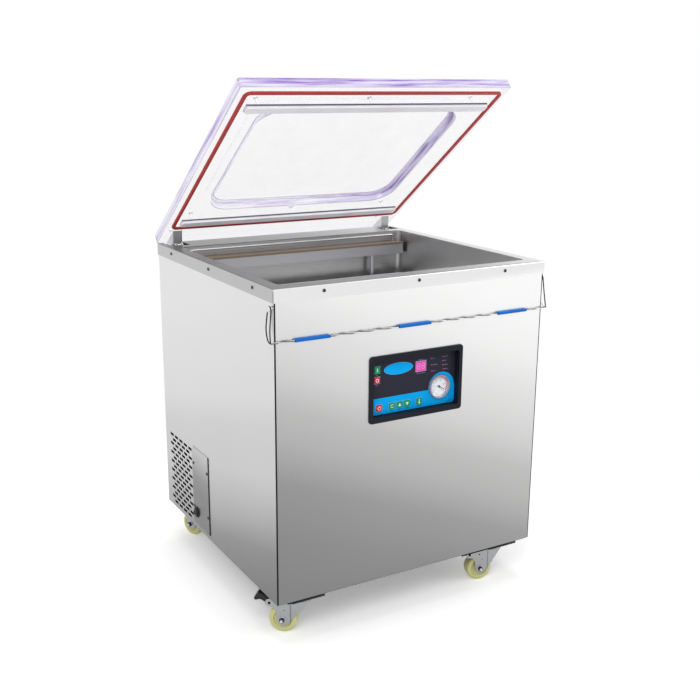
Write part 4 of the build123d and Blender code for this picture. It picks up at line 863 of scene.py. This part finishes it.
scale_band = bmesh.new()
plate(scale_band, arc_band(24.0, 2.2, -32, 118, 32), MARKS_Y, MARK_THICK, on_gauge)
add_piece("gauge_scale_band", scale_band, red_key, "cabinet")

for i, text in enumerate(("0", "2", "4", "6", "8", "10")):
    a = on_scale(i / 5)
    curve = bpy.data.curves.new(f"gauge_number_{text}", "FONT")
    curve.body = text
    curve.size = NUMBER_SIZE * MM
    curve.align_x = "CENTER"
    curve.align_y = "CENTER"
    curve.extrude = 0.03 * MM
    curve.materials.append(black_print_and_shade)
    number = bpy.data.objects.new(f"gauge_number_{text}", curve)
    bpy.context.collection.objects.link(number)
    number.matrix_world = Matrix.Translation(
        on_gauge(NUMBER_RADIUS * math.cos(a), NUMBER_RADIUS * math.sin(a), MARKS_Y - 0.05 * MM)
    ) @ Matrix.Rotation(math.pi / 2, 4, "X")
    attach(number, "cabinet")

# ---------------- case screws
PAN_HEAD = [(0, -0.5), (4.0, -0.5), (4.0, 0.5), (3.7, 1.1), (2.9, 1.7), (1.9, 2.0), (0.9, 2.1), (0, 2.12)]
RIM_SCREW = 13.0  # below the deck
FRONT_SCREWS, SIDE_SCREWS = 234.0, 235.0  # spacing along the rim
COVER_SCREWS_Y, COVER_SCREWS_Z = 43.5, 58.0  # from the middle of the service cover
rim_mid = (deck_low.y + deck_high.y) / 2
cover_mid = (cover_low + cover_high) / 2
screws = bmesh.new()
for step in (-1, 0, 1):
    revolve(screws, PAN_HEAD, on_front(step * FRONT_SCREWS, -RIM_SCREW, FRONT), (0, -1, 0), 20)
for side in (-1, 1):
    for step in (-1, 0, 1):
        spot = Vector((side * deck_high.x, rim_mid + step * SIDE_SCREWS * MM, DECK - RIM_SCREW * MM))
        revolve(screws, PAN_HEAD, spot, (side, 0, 0), 20)
for way_y in (-1, 1):
    for way_z in (-1, 1):
        y = cover_mid.y + way_y * COVER_SCREWS_Y * MM
        z = cover_mid.z + way_z * COVER_SCREWS_Z * MM
        revolve(screws, PAN_HEAD, (cover_low.x, y, z), (-1, 0, 0), 20)
screw_piece = add_piece("case_screws", screws, screw_steel, "cabinet")
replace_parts(screw_piece, "cabinet_screws")

# ---------------- painted shadow in the gaps and under the edges of the sheets
panel_low, panel_high = box("front_panel")
PANEL_LOW, PANEL_HIGH = (panel_low.z - DECK) / MM, (panel_high.z - DECK) / MM
# painted shadow in the gaps between the front panel and the folded corners of the side panels
SEAM, SEAM_LAP = 2.4, 0.3
gap_shadows = bmesh.new()
for x0, x1 in (
    (panel_low.x / MM - SEAM, panel_low.x / MM + SEAM_LAP),
    (panel_high.x / MM - SEAM_LAP, panel_high.x / MM + SEAM),
):
    plate(gap_shadows, oblong(x0, x1, PANEL_LOW, PANEL_HIGH), panel_low.y + 0.6 * MM, 0.5)
add_piece("corner_gap_shadows", gap_shadows, black_print_and_shade, "cabinet")

# painted shadow under the front panel: the shadowed edges of the two castor plates, and a line along the base
# between them
SHADOW_STRIPS = ((-322, -236, 4.2), (146, 300, 4.2), (-340, 340, 1.0))
shadow_strips = bmesh.new()
for x0, x1, drop in SHADOW_STRIPS:
    plate(shadow_strips, oblong(x0, x1, PANEL_LOW - drop, PANEL_LOW - 0.1), panel_low.y + 4.0 * MM, 3.0)
add_piece("under_panel_shadows", shadow_strips, black_print_and_shade, "cabinet")

# painted shadow on the turned-in front edge of the raised service cover
TURN = 3.0 * MM
edge = bmesh.new()
edge_outline = [
    (cover_low.y - TURN, cover_low.z), (cover_low.y, cover_low.z),
    (cover_low.y, cover_high.z), (cover_low.y - TURN, cover_high.z - TURN),
]
solid(edge, [[(x, y, z) for y, z in edge_outline] for x in (cover_low.x + 0.2 * MM, cover_high.x)])
add_piece("cover_edge_shadow", edge, black_print_and_shade, "cabinet")


# ---------------- wire bail
def wire(name, points, radius, material, body, steps=3):
    """A round wire through the points, with its ends closed."""
    curve = bpy.data.curves.new(name, "CURVE")
    curve.dimensions = "3D"
    curve.bevel_depth = radius * MM
    curve.bevel_resolution = steps
    curve.use_fill_caps = True
    spline = curve.splines.new("POLY")
    spline.points.add(len(points) - 1)
    for spot, point in zip(spline.points, points):
        spot.co = (*point, 1.0)
    spline.use_smooth = True
    curve.materials.append(material)
    obj = bpy.data.objects.new(name, curve)
    bpy.context.collection.objects.link(obj)
    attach(obj, body)
    return obj


def smooth_line(points, count):
    """Evenly stepped Catmull-Rom line through the points."""
    out = []
    padded = [points[0]] + list(points) + [points[-1]]
    for i in range(1, len(padded) - 2):
        p0, p1, p2, p3 = padded[i - 1:i + 3]
        for k in range(count):
            t = k / count
            out.append(0.5 * (
                2 * p1 + (p2 - p0) * t + (2 * p0 - 5 * p1 + 4 * p2 - p3) * t * t
                + (3 * p1 - p0 - 3 * p2 + p3) * t ** 3
            ))
    out.append(points[-1])
    return out


sleeve_low, sleeve_high = box("bail_sleeves")
RUN_Y = (sleeve_low.y + sleeve_high.y) / 2
RUN_Z = (sleeve_low.z + sleeve_high.z) / 2
RUN_HALF = 358.0
LOOP_TOP_X = 352.5
LOOP_WIRE = 1.4
TOP_END = 40  # the point of the loop's line where its rear half starts
pivot = Vector(joint["bail_swing"]["pos_m"])
TURNS = 16
TURN_STEPS = 14
STRAND = 1.1
pieces = []
# one strand gets painted light and the other painted shade, for the light and shade along the twist
for start, strand_steel in ((0, wire_painted_light), (math.pi, wire_painted_shade)):
    line = []
    for i in range(TURNS * TURN_STEPS + 1):
        t = i / (TURNS * TURN_STEPS)
        a = start + 2 * math.pi * TURNS * t
        line.append(Vector((
            (-RUN_HALF + 2 * RUN_HALF * t) * MM,
            RUN_Y + STRAND * math.cos(a) * MM,
            RUN_Z + STRAND * math.sin(a) * MM,
        )))
    pieces.append(wire(f"bail_strand_{len(pieces)}", line, STRAND, strand_steel, "bail"))
for side in (-1, 1):
    low_x, high_x = side * RUN_HALF, side * LOOP_TOP_X
    drop = (pivot.z - RUN_Z) / MM
    spots = [
        (low_x, RUN_Y / MM, RUN_Z / MM),
        (low_x - side * 1.2, pivot.y / MM - 9.5, pivot.z / MM - 0.62 * drop),
        (high_x, pivot.y / MM - 6.6, pivot.z / MM - 4),
        (high_x, pivot.y / MM - 4.6, pivot.z / MM + 3.4),
        (high_x, pivot.y / MM, pivot.z / MM + 5.3),
        (high_x, pivot.y / MM + 4.9, pivot.z / MM + 3.2),
        (high_x + side * 0.6, pivot.y / MM + 7.4, pivot.z / MM - 5),
        (low_x - side * 1.6, pivot.y / MM + 8.6, pivot.z / MM - 0.6 * drop),
        (low_x, pivot.y / MM - 2, pivot.z / MM - 0.93 * drop),
        (low_x, RUN_Y / MM, RUN_Z / MM),
    ]
    line = smooth_line([Vector(p) * MM for p in spots], 8)
    name = f"bail_loop_{'left' if side < 0 else 'right'}"
    # the loops get a painted dark reflection, apart from the right loop's rear half, which gets the painted
    # light
    rear_steel = wire_painted_dark if side < 0 else wire_painted_light
    pieces.append(wire(name, line[:TOP_END + 1], LOOP_WIRE, wire_painted_dark, "bail"))
    pieces.append(wire(f"{name}_rear", line[TOP_END:], LOOP_WIRE, rear_steel, "bail"))
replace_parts(pieces[0], "bail_wire")

SLEEVE = 82.0
SLEEVE_CENTRES = (-262.0, -10.0, 258.0)
sleeve_end = [(2.62, 0), (3.3, 0), (3.65, 0.6), (3.7, 2)]
sleeve_profile = sleeve_end + [(r, SLEEVE - h) for r, h in reversed(sleeve_end)] + sleeve_end[:1]
sleeves = bmesh.new()
for centre in SLEEVE_CENTRES:
    revolve(sleeves, sleeve_profile, ((centre - SLEEVE / 2) * MM, RUN_Y, RUN_Z), (1, 0, 0), 20)
weld(sleeves)
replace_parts(add_piece("sleeve_tubes", sleeves, blue_sleeve, "bail"), "bail_sleeves")

# ---------------- castors
TRAIL = 38.0
AXLE = 32.5  # its height above the floor
CHEEK = 15.5
SHEET = 2.5


def smooth_outline(points, rounds, steps=6):
    """Closed outline with each corner rounded by its own radius."""
    out = []
    n = len(points)
    for i, (x, y) in enumerate(points):
        before, after = Vector(points[i - 1]), Vector(points[(i + 1) % n])
        here = Vector((x, y))
        radius = rounds[i]
        a, b = (before - here), (after - here)
        la, lb = a.length, b.length
        a.normalize()
        b.normalize()
        half = a.angle(b) / 2
        if radius <= 0:
            out.append((x, y))
            continue
        cut = min(radius / math.tan(half), la * 0.48, lb * 0.48)
        for k in range(steps + 1):
            t = k / steps
            p = (here + a * cut) * (1 - t) ** 2 + here * 2 * t * (1 - t) + (here + b * cut) * t * t
            out.append((p.x, p.y))
    return out


CREASE = 20.0
FOLD = 3.0
PIVOT = (67.0, 72.5)
FORK_TOP = 83.7
BEND = 0.3
fork_outline = smooth_outline(
    [(-22, FORK_TOP), (-22, 76), (24, 24), (33, 19.5), (44, 19.5), (50, 30), (52, 52), (60, 62.5), (67, 63.2),
     (76.2, 66), (76, 80), (64, 82.5), (52, FORK_TOP)],
    [0, 5, 0, 8, 9, 10, 14, 6, 8, 9, 9, 8, 0],
)


def split(outline, at_u):
    """The outline with the points where it crosses u = at_u put in."""
    points = []
    for i, (u0, z0) in enumerate(outline):
        u1, z1 = outline[(i + 1) % len(outline)]
        points.append((u0, z0))
        if (u0 - at_u) * (u1 - at_u) < 0:
            points.append((at_u, z0 + (z1 - z0) * (at_u - u0) / (u1 - u0)))
    return points


fork_points = split(split(fork_outline, CREASE), CREASE - FOLD)
# stretches of the cheek along u with their material slots: the fold gets painted shade
FORK_PARTS = ((CREASE, math.inf, 0), (CREASE - FOLD, CREASE, 1), (-math.inf, CREASE - FOLD, 0))
RACE = [(0, 80.6), (17, 80.6), (20.5, 81.0), (22.0, 82.4), (22.0, 83.6), (0, 83.6)]
CROWN = [(-20, -6), (CREASE, -18), (50, -18), (50, 18), (CREASE, 18), (-20, 6)]
CROWN_LOW, CROWN_HIGH = 81.0, 83.6
WASHER = [(0, -1), (8.2, -1), (8.2, 1.0), (7.6, 1.4), (0, 1.4)]
NUT = [(6.8, 1.4), (6.8, 4.6), (6.1, 5.6), (4.4, 5.8)]
BOLT_END = [(4.4, 5.8), (3.5, 5.4), (3.5, 8.6), (2.9, 9.2), (0, 9.2)]
RIVET_RING = [(0, -1), (5.2, -1), (5.2, 0.4), (4.6, 0.7), (3.9, 0.7)]
RIVET_TOP = [(3.9, 0.7), (2.4, 0.9), (2.2, 2.2), (1.2, 2.5), (0, 2.5)]
SPINDLE = [(0, -33), (3.9, -33), (3.9, 0), (0, 0)]
HOLES = ((41, 71, 2.1), (33, 57, 1.3))  # u, height and radius of the holes in each cheek, each drawn as a disc of painted shade
tread_half = [
    (4.1, 14), (8.5, 14), (9.0, 13.0), (9.4, 11.0), (19.5, 10.6), (20.6, 11.4), (21.2, 13.4), (22.4, 14),
    (27.0, 14), (29.4, 13.4), (31.3, 11.6), (32.2, 8.6), (32.5, 5),
]
tread = [(r, -h) for r, h in tread_half] + tread_half[::-1] + [(4.1, -14)]
pedal_outline = smooth_outline(
    [(58.5, 71), (61, 78.5), (69, 81), (77, 86.5), (85.5, 92), (95, 92), (103, 81.5), (103.5, 76),
     (99.5, 74.5), (89, 78), (80, 73), (73.5, 67), (67, 64.6), (60, 65.5)],
    [3, 3, 6, 8, 8, 6, 4, 4, 6, 8, 8, 5, 4, 3], 4,
)
PEDAL_LAYERS = (-15, -14, 14, 15)
RIBS, RIB_STEP, RIB_HALF = 5, 2.1, 12.5
RIB = [(84.5, 90.1), (85.5, 90.1), (85.4, 92.3), (84.6, 92.3)]

for corner in CORNERS:
    swivel = joint[f"{corner}_swivel"]["pos_m"]
    roll = joint[f"{corner}_roll"]["pos_m"]
    centre = Vector((swivel[0], swivel[1], 0))
    trailing = (Vector((roll[0], roll[1], 0)) - centre).normalized()
    across = trailing.cross(Vector((0, 0, 1)))

    def at(u, v, z):
        """Place by the castor: u behind its swivel, v across and z above the floor, in mm."""
        return centre + trailing * u * MM + across * v * MM + Vector((0, 0, z * MM))

    def cheek_depth(u):
        """The cheek bends inward in front of the crease."""
        return 0 if u >= CREASE else (CREASE - u) * BEND

    fork = bmesh.new()
    for side in (-1, 1):
        rows = []
        for v in (CHEEK, CHEEK + SHEET):
            rows.append([fork.verts.new(at(u, side * (v - cheek_depth(u)), z)) for u, z in fork_points])
        inner, outer = rows
        for row in rows:
            for start, end, slot_index in FORK_PARTS:
                part = [vert for vert, (u, z) in zip(row, fork_points) if start - 1e-6 <= u <= end + 1e-6]
                fork.faces.new(part).material_index = slot_index
        for i in range(len(inner)):
            j = (i + 1) % len(inner)
            fork.faces.new((inner[i], inner[j], outer[j], outer[i]))
    # the round race of the swivel, and the crown over both cheeks
    revolve(fork, RACE, at(0, 0, 0), UP, 32)
    solid(fork, [[at(u, v, z) for u, v in CROWN] for z in (CROWN_LOW, CROWN_HIGH)])
    steels = [zinc, zinc_fold_shade]
    piece = add_piece(f"{corner}_yoke", fork, steels, f"{corner}_castor", bevel=0.3, angle=13)
    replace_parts(piece, f"{corner}_fork")

    bolts = bmesh.new()
    for side in (-1, 1):
        out = across * side
        start = at(TRAIL, side * (CHEEK + SHEET), AXLE)
        revolve(bolts, WASHER, start, out, 24, 1)
        revolve(bolts, NUT, start, out, 6, 0)
        revolve(bolts, BOLT_END, start, out, 20, 1)
        rivet = at(PIVOT[0], side * (CHEEK + SHEET), PIVOT[1])
        revolve(bolts, RIVET_RING, rivet, out, 20, 1)
        revolve(bolts, RIVET_TOP, rivet, out, 20, 0)
        # each hole is a thin dark disc of painted shade
        for u, z, radius in HOLES:
            hole_at = at(u, side * (CHEEK + SHEET), z)
            revolve(bolts, [(0, -0.6), (radius, -0.6), (radius, 0.12), (0, 0.12)], hole_at, out, 16, 0)
    revolve(bolts, SPINDLE, at(TRAIL, CHEEK + 1, AXLE), across, 20, 0)
    add_piece(f"{corner}_axle", bolts, [bolt_dark_and_hole_shade, bolt_bright], f"{corner}_castor", bevel=0.25)

    wheel = bmesh.new()
    revolve(wheel, tread, at(TRAIL, 0, AXLE), across, 48)
    weld(wheel)
    piece = add_piece(f"{corner}_tyre", wheel, wheel_cream, f"{corner}_roller", angle=60)
    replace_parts(piece, f"{corner}_wheel")

    pedal = bmesh.new()
    solid(pedal, [[at(u, v, z) for u, z in pedal_outline] for v in PEDAL_LAYERS])
    for k in range(RIBS):
        solid(pedal, [[at(u + RIB_STEP * k, v, z) for u, z in RIB] for v in (-RIB_HALF, RIB_HALF)])
    piece = add_piece(
        f"{corner}_pedal_moulding", pedal, black_plastic, f"{corner}_pedal", bevel=0.8,
    )
    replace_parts(piece, f"{corner}_brake")

# pressed cups round the swivel races
cups = bmesh.new()
CUP = [(22.1, 84.6), (23.3, 84.9), (24.1, 87.5), (24.7, 94.2), (27.0, 96.6), (22.1, 96.6), (22.1, 84.6)]
for corner in CORNERS:
    swivel = joint[f"{corner}_swivel"]["pos_m"]
    revolve(cups, CUP, (swivel[0], swivel[1], 0), UP, 36)
weld(cups)
add_piece("race_cups", cups, chrome, "cabinet")

# ---------------- studio
def sees_background(tree_nodes, links):
    """1 for camera, glossy and transmission rays, 0 for the light that falls on the object."""
    ray = tree_nodes.new("ShaderNodeLightPath")
    most = ray.outputs["Is Camera Ray"]
    for kind in ("Is Glossy Ray", "Is Transmission Ray"):
        most = maths(tree_nodes, links, "MAXIMUM", most, ray.outputs[kind])
    return most


SIZE = 30.0  # m
FLOOR_LIFT = 0.30
FADE_FROM, FADE_TO = 0.45, 1.3  # m from the middle, where the floor starts and ends to fade
WORLD_LIGHT = 0.55
floor_mesh = bpy.data.meshes.new("floor")
floor_mesh.from_pydata(
    [(-SIZE, -SIZE, 0), (SIZE, -SIZE, 0), (SIZE, SIZE, 0), (-SIZE, SIZE, 0)], [], [(0, 1, 2, 3)]
)
floor = bpy.data.objects.new("floor", floor_mesh)
bpy.context.collection.objects.link(floor)
floor_mat, tn, links, shader = new_material("floor")
shader.inputs["Base Color"].default_value = (0.9, 0.9, 0.9, 1)
shader.inputs["Roughness"].default_value = 0.9
shader.inputs["Specular IOR Level"].default_value = 0.0
# near the object the floor keeps its shadow, and further off it runs into the white backdrop
lift = tn.new("ShaderNodeEmission")
lift.inputs["Strength"].default_value = FLOOR_LIFT
near = tn.new("ShaderNodeAddShader")
links.new(shader.outputs["BSDF"], near.inputs[0])
links.new(lift.outputs["Emission"], near.inputs[1])
white = tn.new("ShaderNodeEmission")
white.inputs["Strength"].default_value = 1.0
position = tn.new("ShaderNodeNewGeometry")
far = tn.new("ShaderNodeVectorMath")
far.operation = "LENGTH"
links.new(position.outputs["Position"], far.inputs[0])
fade = tn.new("ShaderNodeMapRange")
fade.interpolation_type = "SMOOTHSTEP"
fade.inputs["From Min"].default_value = FADE_FROM
fade.inputs["From Max"].default_value = FADE_TO
links.new(far.outputs["Value"], fade.inputs["Value"])
runs_out = mixed_shaders(tn, links, fade.outputs["Result"], near.outputs["Shader"], white.outputs["Emission"])
surface = mixed_shaders(tn, links, sees_background(tn, links), shader.outputs["BSDF"], runs_out)
links.new(surface, tn["Material Output"].inputs["Surface"])
floor_mesh.materials.append(floor_mat)

world = bpy.data.worlds.new("studio")
bpy.context.scene.world = world
world.use_nodes = True
wn, wl = world.node_tree.nodes, world.node_tree.links
background = wn["Background"]
background.inputs["Color"].default_value = (1, 1, 1, 1)
strength = blend(wn, wl, sees_background(wn, wl), WORLD_LIGHT, 1.0, kind="FLOAT")
wl.new(strength, background.inputs["Strength"])


def area(name, place, target, size, power):
    """A square lamp that looks from its place at the target."""
    data = bpy.data.lights.new(name, "AREA")
    data.energy = power
    data.size = size
    obj = bpy.data.objects.new(name, data)
    bpy.context.collection.objects.link(obj)
    obj.location = place
    obj.rotation_euler = (Vector(target) - Vector(place)).to_track_quat("-Z", "Y").to_euler()


area("key", (-2.2, -2.6, 3.0), (0, 0, 0.6), 1.8, 60)
area("fill", (2.8, -2.0, 2.2), (0, 0, 0.6), 2.0, 30)
area("top", (0, 0.4, 3.4), (0, 0, 0.8), 2.4, 40)

bpy.context.scene.view_settings.view_transform = "Standard"
